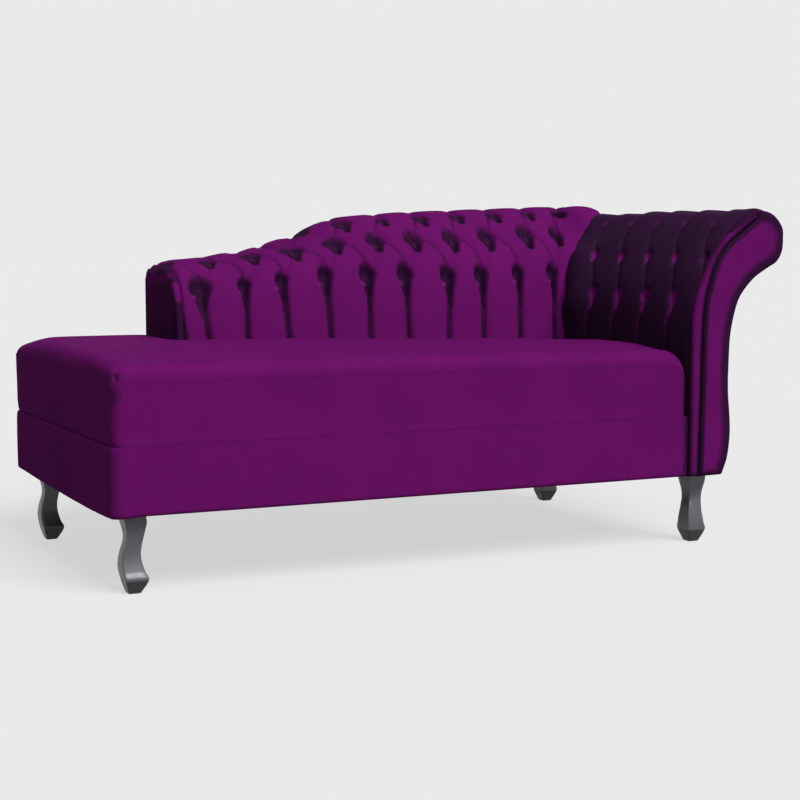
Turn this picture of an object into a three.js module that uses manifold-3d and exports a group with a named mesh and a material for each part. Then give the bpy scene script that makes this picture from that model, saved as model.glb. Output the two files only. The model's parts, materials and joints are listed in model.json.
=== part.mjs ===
// A fainting couch: an upholstered box seat on four cabriole legs, a deep-buttoned back
// with a falling top line along one side, and one deep-buttoned scroll arm at the right.
// Millimetres, +Z up. The couch is drawn from the seat's front left corner at floor level,
// +X to the right and +Y to the rear, and the whole group is then centred over the floor.

import * as THREE from "three";
import { mergeVertices } from "three/addons/utils/BufferGeometryUtils.js";
import Module from "manifold-3d";

const wasm = await Module();
wasm.setup();

// Driving dimensions of the whole couch
const TOTAL_LENGTH = 1588;
const REAR_FACE = 804;
const FRONT_PROUD = 15;
const LEG_HEIGHT = 162;
const SEAM_HEIGHT = 300;
const SEAT_EDGE_HEIGHT = 447;
const SEAT_CROWN = 20;
const SEAT_DEPTH = 533.5;
const CHAISE_LENGTH = 313;
const ARM_INNER_FACE = 1334;
const GAP = 0.3;

// Wooden base
const RAIL_THICKNESS = 25;
const RAIL_BOTTOM = LEG_HEIGHT + 1.6;
const RAIL_TOP = 297;
const PADDING = 10;
const RIGHT_RAIL_BOTTOM = 224;
const CROSS_RAIL_TOP = 255;
const BLOCK_REACH = 112;
const BLOCK_HEIGHT = 40;
const LEG_INSET = 60;
const LEG_FRONT = 70;
const LEG_REAR = 736;
const LEG_RIGHT = 1398;
const STRAP_WIDTH = 60;
const STRAP_PLACES = [80, 215, 450, 600, 750, 900, 1130, 1240];
const CROSS_RAIL_PLACES = [380, 710, 1040];
const SEAT_REAR_RAIL = 566;
const RIGHT_RAIL = 1396;

// Legs: half widths of a square block sawn to one outline from two sides
const LEG_BLOCK = 22.5;
const LEG_SPREAD = 30;
const LEG_HEEL_SIDE = [[-22.5, 150], [-16.4, 121], [-17, 102], [-22.4, 80], [-25, 53], [-20, 24], [-12.5, 0]];
const LEG_TOE_TIP = [25.7, 28];
const LEG_TOE_SIDE = [[19.6, 45], [14.2, 68], [14, 90], [19.4, 120], [23.4, 141], [22.5, 155]];
const LEG_SOLE = 12;

// Buttoned back: rows of buttons, half a pitch apart from row to row
const BUTTON_PITCH = 105;
const FIRST_PLEAT = 385;
const BACK_PAD_LEFT = 328.3;
const BACK_END_FACE = 314;
const PAD_REAR = 796.6;
const BUTTON_PAD = 8;
const LINING = 3;
const BACK_ROW_DEPTHS = [570, 570, 595, 658, 735, PAD_REAR];
const BACK_ROW_ARCS = [-144, 0, 160, 266, 368, 440];
const LOW_ROW = [[328, 567], [385, 576], [590, 600], [700, 609], [1600, 609]];
const MIDDLE_ROW = [[328, 622], [380, 631], [640, 661], [860, 681], [1600, 706]];
const UPPER_ROW = [
  [328, 630], [380, 644], [500, 652], [600, 672], [700, 708], [800, 730], [910, 741], [1600, 772],
];
const CREST = [
  [328, 622], [345, 637], [380, 645], [455, 646], [505, 656], [560, 660], [650, 688],
  [695, 694], [800, 742], [860, 753], [1520, 784], [1560, 780], [1590, 762],
];
const PUFF_RIGHT = [0, 35, 33, 30, 19, 6];
const PUFF_LEFT = [0, 35, 32, 17, 7, 6];
const PUFF_BLEND = [600, 760];
const RIB_THICKNESS = 18;
const RIB_PLACES = [330.5, 575, 820, 1065, 1309];
const CREST_BOARD_FRONT = 776;
const CREST_BOARD_HEIGHT = 120;

// Buttoned arm: the outline of the scroll as seen from the front
const ARM_PITCH = 114.4;
const ARM_FIRST_BUTTON = 88;
const ARM_CURVE = [
  [1334, 302], [1334, 445], [1345, 560], [1390, 657], [1458, 741], [1508, 768],
  [1556, 757], [1584, 728], [1588, 699], [1576, 663], [1549, 640], [1520, 628],
];
const ARM_OUTER_CURVE = [
  [1520, 628], [1484, 605], [1461, 575], [1448, 541], [1440, 474], [1440, 355],
  [1446, 269], [1440, 218], [1427, LEG_HEIGHT],
];
const ARM_ARCS = [-143, 0, 116, 223, 331, 388, 440, 480, 510, 545, 580, 612];
const ARM_PUFFS = [0, 20, 24, 22, 18, 8, 4, 3, 3, 3, 3, 3];
const ARM_BOARD = 18;
const ARM_COVER = 5;
const ARM_HIDDEN_FROM = 655;
const ARM_TOP_RAIL = [[1490, 672], [1530, 672], [1530, 712], [1490, 712]];
const ARM_SEAT_RAIL = [[1382, 430], [1407, 430], [1407, 490], [1382, 490]];
const GROOVE_CURVE = [
  [1366, 162], [1368, 250], [1371, 337], [1369, 476], [1375, 557], [1395, 610],
  [1422, 658], [1457, 699], [1500, 733],
];

// Plain colours of the pieces
const VELVET = { color: 0x60105c, roughness: 0.85, metalness: 0 };
const PAINTED = { color: 0x5d5f68, roughness: 0.35, metalness: 0.3 };
const PINE = { color: 0xcaa472, roughness: 0.7, metalness: 0 };
const PLYWOOD = { color: 0xb08a5c, roughness: 0.75, metalness: 0 };
const WEBBING = { color: 0x26262a, roughness: 0.9, metalness: 0 };
const STEEL = { color: 0xb9bcc0, roughness: 0.35, metalness: 1 };

// Solids and booleans

function toSolid(geometry) {
  const bare = geometry.clone();
  bare.deleteAttribute("normal");
  bare.deleteAttribute("uv");
  const merged = mergeVertices(bare, 1e-3);
  return new wasm.Manifold(
    new wasm.Mesh({
      numProp: 3,
      vertProperties: merged.attributes.position.array,
      triVerts: new Uint32Array(merged.index.array),
    }),
  );
}

function toGeometry(solid) {
  const mesh = solid.getMesh();
  const geometry = new THREE.BufferGeometry();
  geometry.setAttribute("position", new THREE.BufferAttribute(mesh.vertProperties, 3));
  geometry.setIndex(new THREE.BufferAttribute(mesh.triVerts, 1));
  const faceted = geometry.toNonIndexed();
  faceted.computeVertexNormals();
  return faceted;
}

function cut(geometry, ...tools) {
  return toGeometry(tools.reduce((left, tool) => left.subtract(toSolid(tool)), toSolid(geometry)));
}

function keep(geometry, tool) {
  return toGeometry(toSolid(geometry).intersect(toSolid(tool)));
}

function join(geometry, others) {
  return toGeometry(others.reduce((whole, other) => whole.add(toSolid(other)), toSolid(geometry)));
}

// An outline pushed along x, y or z from one place to another, with its edges eased.
function prism(axis, outline, from, to, ease = 0, curveSegments = 6) {
  const shape = Array.isArray(outline)
    ? new THREE.Shape(outline.map(([a, b]) => new THREE.Vector2(a, b)))
    : outline;
  const geometry = new THREE.ExtrudeGeometry(shape, {
    depth: to - from - 2 * ease,
    bevelEnabled: ease > 0,
    bevelThickness: ease,
    bevelSize: ease,
    bevelOffset: -ease,
    bevelSegments: 1,
    curveSegments,
  });
  const place = new THREE.Matrix4();
  if (axis === "x") place.set(0, 0, 1, from + ease, 1, 0, 0, 0, 0, 1, 0, 0, 0, 0, 0, 1);
  if (axis === "y") place.set(1, 0, 0, 0, 0, 0, -1, to - ease, 0, 1, 0, 0, 0, 0, 0, 1);
  if (axis === "z") place.makeTranslation(0, 0, from + ease);
  return geometry.applyMatrix4(place);
}

function rectangle(a0, a1, b0, b1) {
  return [[a0, b0], [a1, b0], [a1, b1], [a0, b1]];
}

function block(x0, x1, y0, y1, z0, z1) {
  const box = new THREE.BoxGeometry(x1 - x0, y1 - y0, z1 - z0);
  return box.translate((x0 + x1) / 2, (y0 + y1) / 2, (z0 + z1) / 2);
}

// A closed skin through rings of points, each with the same count, with flat filled ends.
function skin(rings, endAxes) {
  const count = rings[0].length;
  const index = [];
  for (let i = 0; i + 1 < rings.length; i++) {
    for (let j = 0; j < count; j++) {
      const a = i * count + j;
      const b = i * count + ((j + 1) % count);
      if ((i + j) % 2) index.push(a, b, b + count, a, b + count, a + count);
      else index.push(a, b, a + count, b, b + count, a + count);
    }
  }
  const [u, v] = endAxes;
  const fill = (ring, base, first) => {
    const outline = ring.map((p) => new THREE.Vector2(p[u], p[v]));
    const ordered = THREE.ShapeUtils.isClockWise(outline) === first;
    for (const [a, b, c] of THREE.ShapeUtils.triangulateShape(outline, [])) {
      if (ordered) index.push(base + a, base + b, base + c);
      else index.push(base + a, base + c, base + b);
    }
  };
  fill(rings[0], 0, true);
  fill(rings[rings.length - 1], (rings.length - 1) * count, false);
  const geometry = new THREE.BufferGeometry();
  geometry.setAttribute("position", new THREE.Float32BufferAttribute(rings.flat(2), 3));
  geometry.setIndex(index);
  if (toSolid(geometry).volume() > 0) return geometry;
  geometry.setIndex(index.slice().reverse());
  return geometry;
}

// Curves and lists

function read(list, x) {
  const last = list.length - 1;
  if (x <= list[0][0]) return list[0][1];
  if (x >= list[last][0]) return list[last][1];
  const i = list.findIndex(([at]) => at > x) - 1;
  const [x0, y0] = list[i];
  const [x1, y1] = list[i + 1];
  return y0 + ((y1 - y0) * (x - x0)) / (x1 - x0);
}

// A smooth value between the numbers of an evenly stepped list, at a place counted in steps.
function smooth(values, place) {
  const last = values.length - 1;
  const at = Math.min(Math.max(place, 0), last - 1e-9);
  const i = Math.floor(at);
  const f = at - i;
  const [a, b, c, d] = [-1, 0, 1, 2].map((k) => values[Math.min(Math.max(i + k, 0), last)]);
  const bend = (2 * a - 5 * b + 4 * c - d) * f * f + (3 * b - a - 3 * c + d) * f ** 3;
  return 0.5 * (2 * b + (c - a) * f + bend);
}

function straight(values, place) {
  const at = Math.min(Math.max(place, 0), values.length - 1 - 1e-9);
  const i = Math.floor(at);
  return values[i] + (values[i + 1] - values[i]) * (at - i);
}

function blend(from, to, x) {
  const t = Math.min(Math.max((x - from) / (to - from), 0), 1);
  return t * t * (3 - 2 * t);
}

// The left-hand normal of a plane curve at a place.
function normalAt(curve, place) {
  const [a0, b0] = curve(place - 0.02);
  const [a1, b1] = curve(place + 0.02);
  const size = Math.hypot(a1 - a0, b1 - b0);
  return [-(b1 - b0) / size, (a1 - a0) / size];
}

// Buttoned padding: how far each point stands above the buttons, from 0 to 1

const FOLD_REACH = 50;

function pleat(from, to, fromDepth, toDepth, sag) {
  return { from, to, fromDepth, toDepth, sag };
}

function rise(pleats, u, v) {
  let height = 1;
  for (const { from, to, fromDepth, toDepth, sag } of pleats) {
    const du = to[0] - from[0];
    const dv = to[1] - from[1];
    const along = Math.min(Math.max(((u - from[0]) * du + (v - from[1]) * dv) / (du * du + dv * dv), 0), 1);
    const away = Math.hypot(u - from[0] - along * du, v - from[1] - along * dv) / FOLD_REACH;
    if (away >= 1) continue;
    const depth = fromDepth + (toDepth - fromDepth) * along - sag * Math.sin(Math.PI * along);
    height *= 1 - depth * (1 - Math.sqrt(1 - (1 - away) ** 2));
  }
  return height;
}

// Back: where a pleat or button stands, by half pitches from the first pleat and by row

const backX = (half) => FIRST_PLEAT + (BUTTON_PITCH / 2) * half;
const backArc = (row) => straight(BACK_ROW_ARCS, row + 1);
const LAST_HALF = 20;
const LOWER_TOP_HALF = 5;

function backButtons() {
  const found = [];
  for (let half = 0; half <= 18; half += 2) found.push([half, 1]);
  for (let half = -1; half <= 19; half += 2) found.push([half, 2]);
  for (let half = 6; half <= LAST_HALF; half += 2) found.push([half, 3]);
  return found;
}

function backPleats() {
  const at = (half, row) => [backX(half), backArc(row)];
  const has = (half, row) => backButtons().some(([h, r]) => h === half && r === row);
  const found = [];
  for (const [half, row] of backButtons()) {
    if (row === 1) found.push(pleat(at(half, 1), at(half, -0.2), 1, 0.5, 0.1));
    for (const side of [-1, 1]) {
      if (has(half + side, row + 1)) found.push(pleat(at(half, row), at(half + side, row + 1), 1, 1, 0.5));
    }
    const last = row === 3 || (row === 2 && half <= LOWER_TOP_HALF);
    if (last) found.push(pleat(at(half, row), at(half, 4.2), 1, 0.8, 0.2));
  }
  return found;
}

const BACK_PLEATS = backPleats();

// The surface that the buttons pull down to, at one place along the couch: [y, z] by row.
function backCurve(x) {
  const rows = [LOW_ROW, MIDDLE_ROW, UPPER_ROW, CREST].map((row) => read(row, x));
  const heights = [SEAM_HEIGHT + 2, 446, ...rows];
  return (row) => [smooth(BACK_ROW_DEPTHS, row + 1), smooth(heights, row + 1)];
}

function backPoint(x, row, offset) {
  const curve = backCurve(x);
  const [y, z] = curve(row);
  const [ny, nz] = normalAt(curve, Math.min(row, 3.95));
  return [x, y + ny * offset, z + nz * offset];
}

function puffHeight(x, row) {
  const share = blend(PUFF_BLEND[0], PUFF_BLEND[1], x);
  return straight(PUFF_LEFT, row + 1) * (1 - share) + straight(PUFF_RIGHT, row + 1) * share;
}

// A full-depth body under an offset of the button surface, closed down its rear and along its bottom.
function backBody(xs, rows, surface, rear, bottom) {
  const rings = xs.map((x) => {
    const ring = rows.map((row) => surface(x, row));
    const top = ring[ring.length - 1][2];
    ring[0][2] = bottom;
    ring.push([x, rear, top - 0.5], [x, rear, bottom]);
    return ring;
  });
  return skin(rings, [1, 2]);
}

const COARSE_ROWS = [-1, 0, 0.5, 1, 1.5, 2, 2.5, 3, 3.5, 4];
const COARSE_XS = [300, 345, 380, 455, 505, 560, 610, 650, 695, 750, 800, 860, 1000, 1200, 1400, 1620];

function backCore(offset) {
  const surface = (x, row) => backPoint(x, row, -offset);
  return backBody(COARSE_XS, COARSE_ROWS, surface, REAR_FACE + 20, SEAM_HEIGHT - 20);
}

function steps(from, to, size) {
  const count = Math.round((to - from) / size);
  return Array.from({ length: count + 1 }, (_, i) => from + ((to - from) * i) / count);
}

function button(at, normal) {
  const profile = [[0, -5], [10.5, -5], [10.5, 1.5], [0, 5]].map(([r, h]) => new THREE.Vector2(r, h));
  const dome = new THREE.LatheGeometry(profile, 5);
  const turn = new THREE.Quaternion().setFromUnitVectors(
    new THREE.Vector3(0, 1, 0),
    new THREE.Vector3(...normal).normalize(),
  );
  return dome.applyQuaternion(turn).translate(...at);
}

function armEnvelope(grow) {
  return prism("y", armSection(-grow, -grow), -20, 900);
}

function backPad() {
  const rows = [-1, 0, 0.5, ...steps(1, 3, 0.5), 3.5, 3.94];
  const halves = steps(-1, 22.5, 0.5);
  const xs = halves.map(backX);
  xs[0] = BACK_PAD_LEFT;
  xs[xs.length - 1] = TOTAL_LENGTH - 10;
  const surface = (x, row) => {
    const arc = backArc(row);
    const flat = row < 0;
    return backPoint(x, row, flat ? 20 : puffHeight(x, row) * rise(BACK_PLEATS, x, arc));
  };
  const body = backBody(xs, rows, surface, PAD_REAR, SEAM_HEIGHT + 2);
  const beyondArm = block(1400, 1700, 500, 900, 200, 690);
  const pad = cut(body, backCore(BUTTON_PAD), armEnvelope(GAP), beyondArm);
  const buttons = backButtons()
    .filter(([half]) => half >= 0 && half <= 18)
    .map(([half, row]) => {
      const x = backX(half);
      const [ny, nz] = normalAt(backCurve(x), row);
      return button(backPoint(x, row, 1), [0, ny, nz]);
    });
  return join(pad, buttons);
}

function backLining() {
  const outer = backCore(BUTTON_PAD + GAP);
  const inner = backCore(BUTTON_PAD + GAP + LINING).translate(0, 1, -1);
  const room = block(RIB_PLACES[0], ARM_INNER_FACE - 2, 500, CREST_BOARD_FRONT - GAP, SEAM_HEIGHT + 2, 900);
  return keep(cut(outer, inner), room);
}

function backRib(left) {
  const offset = -(BUTTON_PAD + LINING + 3);
  const line = steps(-1, 4, 0.5).map((row) => backPoint(left, row, offset).slice(1));
  line[0][1] = RAIL_TOP + GAP;
  const rear = REAR_FACE - PADDING;
  const inside = line.filter(([y]) => y < CREST_BOARD_FRONT - 2 * GAP);
  const top = inside[inside.length - 1][1];
  const notch = read(CREST, left) - CREST_BOARD_HEIGHT - 25;
  const front = CREST_BOARD_FRONT - GAP;
  const behind = [[front, top], [front, notch], [rear, notch], [rear, RAIL_TOP + GAP]];
  return prism("x", [...inside, ...behind], 0, RIB_THICKNESS);
}

function crestBoard() {
  const left = RIB_PLACES[0];
  const right = ARM_INNER_FACE + 30;
  const clearance = BUTTON_PAD + LINING + 6;
  const xs = COARSE_XS.filter((x) => x > left && x < right);
  const top = [left, ...xs, right].map((x) => [x, read(CREST, x) - clearance]);
  const bottom = top.map(([x, z]) => [x, z - CREST_BOARD_HEIGHT + 5]).reverse();
  return prism("y", [...bottom, ...top], CREST_BOARD_FRONT, CREST_BOARD_FRONT + ARM_BOARD);
}

// Padded cover of the back's left end, inset from the edge of the buttoned pad.
function backEndCover() {
  const rows = steps(0, 4, 0.5);
  const swell = (row) => puffHeight(BACK_PAD_LEFT, row) * 0.75;
  const line = rows.map((row) => backPoint(BACK_PAD_LEFT, row, swell(row)).slice(1));
  line[0] = [539, SEAM_HEIGHT + 1];
  line[line.length - 1][0] = PAD_REAR;
  return prism("x", [...line, [PAD_REAR, SEAM_HEIGHT + 1]], BACK_END_FACE, BACK_PAD_LEFT - GAP, 5);
}

// Outside back: one board-backed panel from the seam to the top line and round the scroll.
function outsideBack() {
  const inset = 4;
  const right = ARM_INNER_FACE + inset;
  const low = SEAM_HEIGHT + 1;
  const crest = steps(BACK_END_FACE + 12, TOTAL_LENGTH - 28, 42).map((x) => [x, read(CREST, x) - 2]);
  const roll = steps(6.4, 10.6, 0.7).map((place) => armPoint(place, -inset));
  const scroll = armOuterLine(16, inset).filter(([, z]) => z < 620);
  const corner = [[BACK_END_FACE + inset, low], [BACK_END_FACE + inset, 600]];
  const outline = [...corner, ...crest, ...roll, ...scroll, [right, LEG_HEIGHT], [right, low]];
  return prism("y", outline, PAD_REAR + GAP, REAR_FACE, 2.5);
}

// Arm: the scroll's outline by place along ARM_CURVE, and inward by an offset

const ARM_SPLINE = (place) => [
  smooth(ARM_CURVE.map(([x]) => x), place),
  smooth(ARM_CURVE.map(([, z]) => z), place),
];

const OUTER_XS = ARM_OUTER_CURVE.map(([x]) => x);
const OUTER_ZS = ARM_OUTER_CURVE.map(([, z]) => z);
const ARM_PLACES = [0, 1, 1.5, 2, 2.5, 3, 3.5, 4, 4.5, 5, 6, 7, 8, 9, 10, 10.9];

function armPoint(place, offset) {
  const [x, z] = ARM_SPLINE(place);
  const last = ARM_CURVE.length - 1.05;
  const [nx, nz] = normalAt(ARM_SPLINE, Math.min(Math.max(place, 0.05), last));
  return [x + nx * offset, z + nz * offset];
}

// The outer cover's line down from the roll to the base, drawn in by an inset.
function armOuterLine(count, inset = 0) {
  const curve = (place) => [smooth(OUTER_XS, place), smooth(OUTER_ZS, place)];
  const last = OUTER_XS.length - 1;
  return steps(0.05, last, (last - 0.05) / count).map((place) => {
    const [nx, nz] = normalAt(curve, Math.min(place, last - 0.05));
    const [x, z] = curve(place);
    return [x - nx * inset, z - nz * inset];
  });
}

// The whole scroll as one outline, drawn in from the pad's skin and from the outer cover.
function armSection(padInset, coverInset, floor = LEG_HEIGHT) {
  const inset = (place) => (typeof padInset === "function" ? padInset(place) : padInset);
  const upper = ARM_PLACES.map((place) => armPoint(place, -inset(place)));
  const lower = armOuterLine(16, coverInset).slice(2);
  const foot = upper[0][0];
  return [[foot, floor], ...upper, ...lower.slice(0, -1), [lower[lower.length - 1][0], floor]];
}

const armPadBack = (place) => straight(ARM_PUFFS, place) + (place > 5 ? 9 : BUTTON_PAD);

function armPleats() {
  const at = (half, row) => [ARM_FIRST_BUTTON + (ARM_PITCH / 2) * half, straight(ARM_ARCS, row + 1)];
  const found = [];
  for (let half = 0; half <= 10; half++) {
    const even = half % 2 === 0;
    if (even) {
      found.push(pleat(at(half, 1), at(half, -0.3), 1, 0.5, 0.1));
      found.push(pleat(at(half, 3), at(half, 6), 1, 0.6, 0.1));
    }
    const rows = even ? [1, 3] : [2];
    for (const row of rows) {
      const next = row === 2 ? 3 : 2;
      for (const side of [-1, 1]) found.push(pleat(at(half, row), at(half + side, next), 1, 1, 0.5));
    }
  }
  return found;
}

const ARM_PLEATS = armPleats();

function armPadSurface(y, place) {
  const arc = straight(ARM_ARCS, place);
  const puff = straight(ARM_PUFFS, place);
  const tufted = y < ARM_HIDDEN_FROM ? rise(ARM_PLEATS, y, arc) : 1;
  const flat = place < 0.5;
  const [x, z] = armPoint(place, flat ? 0 : -puff * (1 - tufted));
  return [x, y, z];
}

function armPad() {
  const halves = steps(-1.5, 10, 0.5);
  const folds = halves.slice(1).map((half) => ARM_FIRST_BUTTON + (ARM_PITCH / 2) * half);
  const ys = [0.4, ...folds, 720, PAD_REAR - 0.2];
  const closing = [[1500, 690], [1400, 520], [1400, ARM_CURVE[0][1]]];
  const rings = ys.map((y) => [
    ...ARM_PLACES.map((place) => armPadSurface(y, place)),
    ...closing.map(([x, z]) => [x, y, z]),
  ]);
  const under = ARM_PLACES.map((place) => armPoint(place, -armPadBack(place)));
  const low = ARM_CURVE[0][1] - 20;
  const core = prism("y", [[under[0][0], low], ...under, [1512, 600], [1420, low]], -50, 900);
  const pad = skin(rings, [0, 2]);
  const hidden = block(1300, 1466, ARM_HIDDEN_FROM, 900, 200, 730);
  const buttons = [];
  for (let half = 0; half <= 9; half++) {
    for (const place of half % 2 === 0 ? [2, 4] : [3]) {
      const [x, z] = armPoint(place, -straight(ARM_PUFFS, place) + 1);
      const [nx, nz] = normalAt(ARM_SPLINE, place);
      buttons.push(button([x, ARM_FIRST_BUTTON + (ARM_PITCH / 2) * half, z], [nx, 0, nz]));
    }
  }
  return join(cut(pad, core, hidden), buttons);
}

function armLining() {
  const places = ARM_PLACES.filter((place) => place <= 8);
  const near = places.map((place) => armPoint(place, -armPadBack(place) - GAP));
  const far = places.map((place) => armPoint(place, -armPadBack(place) - GAP - LINING)).reverse();
  return prism("y", [...near, ...far], 0.5, CREST_BOARD_FRONT - GAP);
}

function armBoardOutline() {
  return armSection((place) => armPadBack(place) + LINING + 4 * GAP, ARM_COVER + 2 * GAP, RAIL_BOTTOM);
}

function armOuterCover() {
  const line = armOuterLine(16);
  const inside = armOuterLine(16, ARM_COVER).reverse();
  return prism("y", [...line, ...inside], 0.4, PAD_REAR - 0.2);
}

function armFacing() {
  const groove = GROOVE_CURVE.map(([x, z]) => [x + 2, z]);
  const roll = steps(5, 10, 0.5).map((place) => armPoint(place, place < 5.6 ? -14 : -2));
  const outer = armOuterLine(14, 1).slice(1);
  return prism("y", [...groove, ...roll, ...outer], -FRONT_PROUD, -0.4, 5);
}

function armBorder() {
  const edge = steps(1, 4.6, 0.4).map((place) => armPoint(place, -1));
  const groove = GROOVE_CURVE.map(([x, z]) => [x - 2, z]).reverse();
  const foot = [[ARM_INNER_FACE + 1, LEG_HEIGHT], [ARM_INNER_FACE + 1, 302]];
  return prism("y", [...foot, ...edge, ...groove], -FRONT_PROUD + 1, -0.4, 6);
}

// Seat: an L-shaped pad that fills the box and runs to the rear at the open end

const SEAT_RADIUS = 28;
const TUCK_RADIUS = 12;
// Rings down the seat's sides: share of the height above the seam, and how far drawn in
const SIDE_RINGS = [[0.82, 0.6], [0.5, 0], [0.18, 1], [0, 4]];

function seatTop(x, y) {
  const along = Math.min(x / 160, 1) * (1 - blend(300, ARM_INNER_FACE, x) * 0.85);
  const fromRear = x > CHAISE_LENGTH ? 1 : Math.min(1, (REAR_FACE - y) / 120) ** 0.6;
  const across = Math.min(1, y / 200) ** 0.6 * fromRear;
  return SEAT_EDGE_HEIGHT + SEAT_CROWN * along * across;
}

// How far into each rounded edge a point lies, and how far its height falls there.
function seatDrop(x, y) {
  const rear = x < CHAISE_LENGTH ? REAR_FACE - 4 : SEAT_DEPTH;
  const right = y > SEAT_DEPTH ? CHAISE_LENGTH : ARM_INNER_FACE - 4;
  const edges = [
    [x, SEAT_RADIUS],
    [y, SEAT_RADIUS],
    [rear - y, x < CHAISE_LENGTH ? SEAT_RADIUS : TUCK_RADIUS],
    [right - x, y > SEAT_DEPTH ? TUCK_RADIUS : SEAT_RADIUS],
  ];
  const shares = edges.map(([away, radius]) => Math.max(0, 1 - Math.max(0, away) / radius));
  const total = Math.min(1, Math.hypot(...shares));
  const weight = shares.reduce((sum, share) => sum + share * share, 0) || 1;
  const radius = edges.reduce((sum, [, size], i) => sum + size * shares[i] ** 2, 0) / weight;
  return radius * (1 - Math.sqrt(1 - total * total));
}

// Square corners in plan turned round, ring by ring.
function roundPlan(x, y) {
  const corners = [
    [0, 0, 1, 1],
    [0, REAR_FACE - 4, 1, -1],
    [ARM_INNER_FACE - 4, 0, -1, 1],
  ];
  for (const [cx, cy, sx, sy] of corners) {
    const dx = (x - cx) * sx - SEAT_RADIUS;
    const dy = (y - cy) * sy - SEAT_RADIUS;
    if (dx < 0 && dy < 0) {
      const scale = Math.max(-dx, -dy) / Math.hypot(dx, dy);
      return [cx + sx * (SEAT_RADIUS + dx * scale), cy + sy * (SEAT_RADIUS + dy * scale)];
    }
  }
  return [x, y];
}

// Grid lines over the seat, closer together near its edges.
function seatLines() {
  const near = [0, 4, 13, SEAT_RADIUS];
  const far = (end) => near.map((d) => end - d).reverse();
  const toBack = [...near, ...steps(90, 250, 80), ...[24, 9, 0].map((d) => CHAISE_LENGTH - d)];
  return {
    xs: [...toBack, ...steps(400, 1220, 102.5), ...far(ARM_INNER_FACE - 4)],
    ys: [...near, ...steps(110, 440, 82.5), 512, 526, SEAT_DEPTH, 610, 700, ...far(REAR_FACE - 4)],
  };
}

// The outline of a patch of faces: the edges that no neighbouring face shares, end to end.
function rimOf(faces) {
  const edges = faces.flatMap((face) => face.map((a, i) => [a, face[(i + 1) % face.length]]));
  const turned = new Set(edges.map(([a, b]) => b + "," + a));
  const next = new Map(edges.filter(([a, b]) => !turned.has(a + "," + b)));
  const loop = [next.keys().next().value];
  while (next.get(loop[loop.length - 1]) !== loop[0]) loop.push(next.get(loop[loop.length - 1]));
  return loop;
}

function seatPad() {
  const { xs, ys } = seatLines();
  const points = xs.flatMap((x) => ys.map((y) => [...roundPlan(x, y), seatTop(x, y) - seatDrop(x, y)]));
  const at = (i, j) => i * ys.length + j;
  const faces = [];
  for (let i = 0; i + 1 < xs.length; i++) {
    for (let j = 0; j + 1 < ys.length; j++) {
      if (xs[i] >= CHAISE_LENGTH && ys[j] >= SEAT_DEPTH) continue;
      faces.push([at(i, j), at(i + 1, j), at(i + 1, j + 1), at(i, j + 1)]);
    }
  }
  const index = faces.flatMap(([a, b, c, d]) => [a, b, c, a, c, d]);
  const rim = rimOf(faces);
  const outline = rim.map((k) => points[k]);
  const bottom = SEAM_HEIGHT + GAP;
  const rims = [rim];
  for (const [share, inset] of SIDE_RINGS) {
    const ring = outline.map(([x, y, z], k) => {
      const [x0, y0] = outline[(k + rim.length - 1) % rim.length];
      const [x1, y1] = outline[(k + 1) % rim.length];
      const size = Math.hypot(x1 - x0, y1 - y0);
      const [inX, inY] = [((y1 - y0) / size) * inset, ((x1 - x0) / size) * inset];
      points.push([x - inX, y + inY, bottom + (z - bottom) * share]);
      return points.length - 1;
    });
    rims.push(ring);
  }
  for (let r = 0; r + 1 < rims.length; r++) {
    for (let k = 0; k < rim.length; k++) {
      const n = (k + 1) % rim.length;
      index.push(rims[r][k], rims[r + 1][n], rims[r][n], rims[r][k], rims[r + 1][k], rims[r + 1][n]);
    }
  }
  const base = rims[rims.length - 1];
  const flat = base.map((k) => new THREE.Vector2(points[k][0], points[k][1]));
  const floor = THREE.ShapeUtils.triangulateShape(flat, []);
  for (const [a, b, c] of floor) index.push(base[a], base[c], base[b]);
  const geometry = new THREE.BufferGeometry();
  geometry.setAttribute("position", new THREE.Float32BufferAttribute(points.flat(), 3));
  geometry.setIndex(index);
  return geometry;
}

// Lower band: padded strips round the base, mitred at the corners

const BAND_SECTION = [
  [PADDING - GAP, LEG_HEIGHT], [PADDING - GAP, SEAM_HEIGHT - GAP], [4, SEAM_HEIGHT - GAP], [1.2, 294],
  [0.2, 270], [0, 235], [0.2, 195], [1.2, 169], [4, LEG_HEIGHT],
];

// Outer and inner lines of the band in plan, from a rounded mitred corner or a square end.
function bandStations(length, mitreStart, mitreEnd) {
  const radius = 18;
  const inner = PADDING - GAP;
  const stations = [];
  const corner = (angle) => {
    const share = (270 - angle) / 45;
    const turn = (angle * Math.PI) / 180;
    const outerPoint = [radius + radius * Math.cos(turn), radius + radius * Math.sin(turn)];
    return [outerPoint, [radius + (inner - radius) * share, inner]];
  };
  if (mitreStart) for (const angle of [225, 240, 255, 270]) stations.push(corner(angle));
  else stations.push([[0, 0], [0, inner]]);
  if (!mitreEnd) return [...stations, [[length, 0], [length, inner]]];
  for (const angle of [270, 255, 240, 225]) stations.push(corner(angle).map(([x, y]) => [length - x, y]));
  return stations;
}

function band(length, mitreStart, mitreEnd) {
  const rings = bandStations(length, mitreStart, mitreEnd).map(([outer, inner]) =>
    BAND_SECTION.map(([depth, z]) => {
      const share = depth / (PADDING - GAP);
      return [outer[0] + (inner[0] - outer[0]) * share, outer[1] + (inner[1] - outer[1]) * share, z];
    }),
  );
  return skin(rings, [1, 2]);
}

// Wooden base

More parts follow.
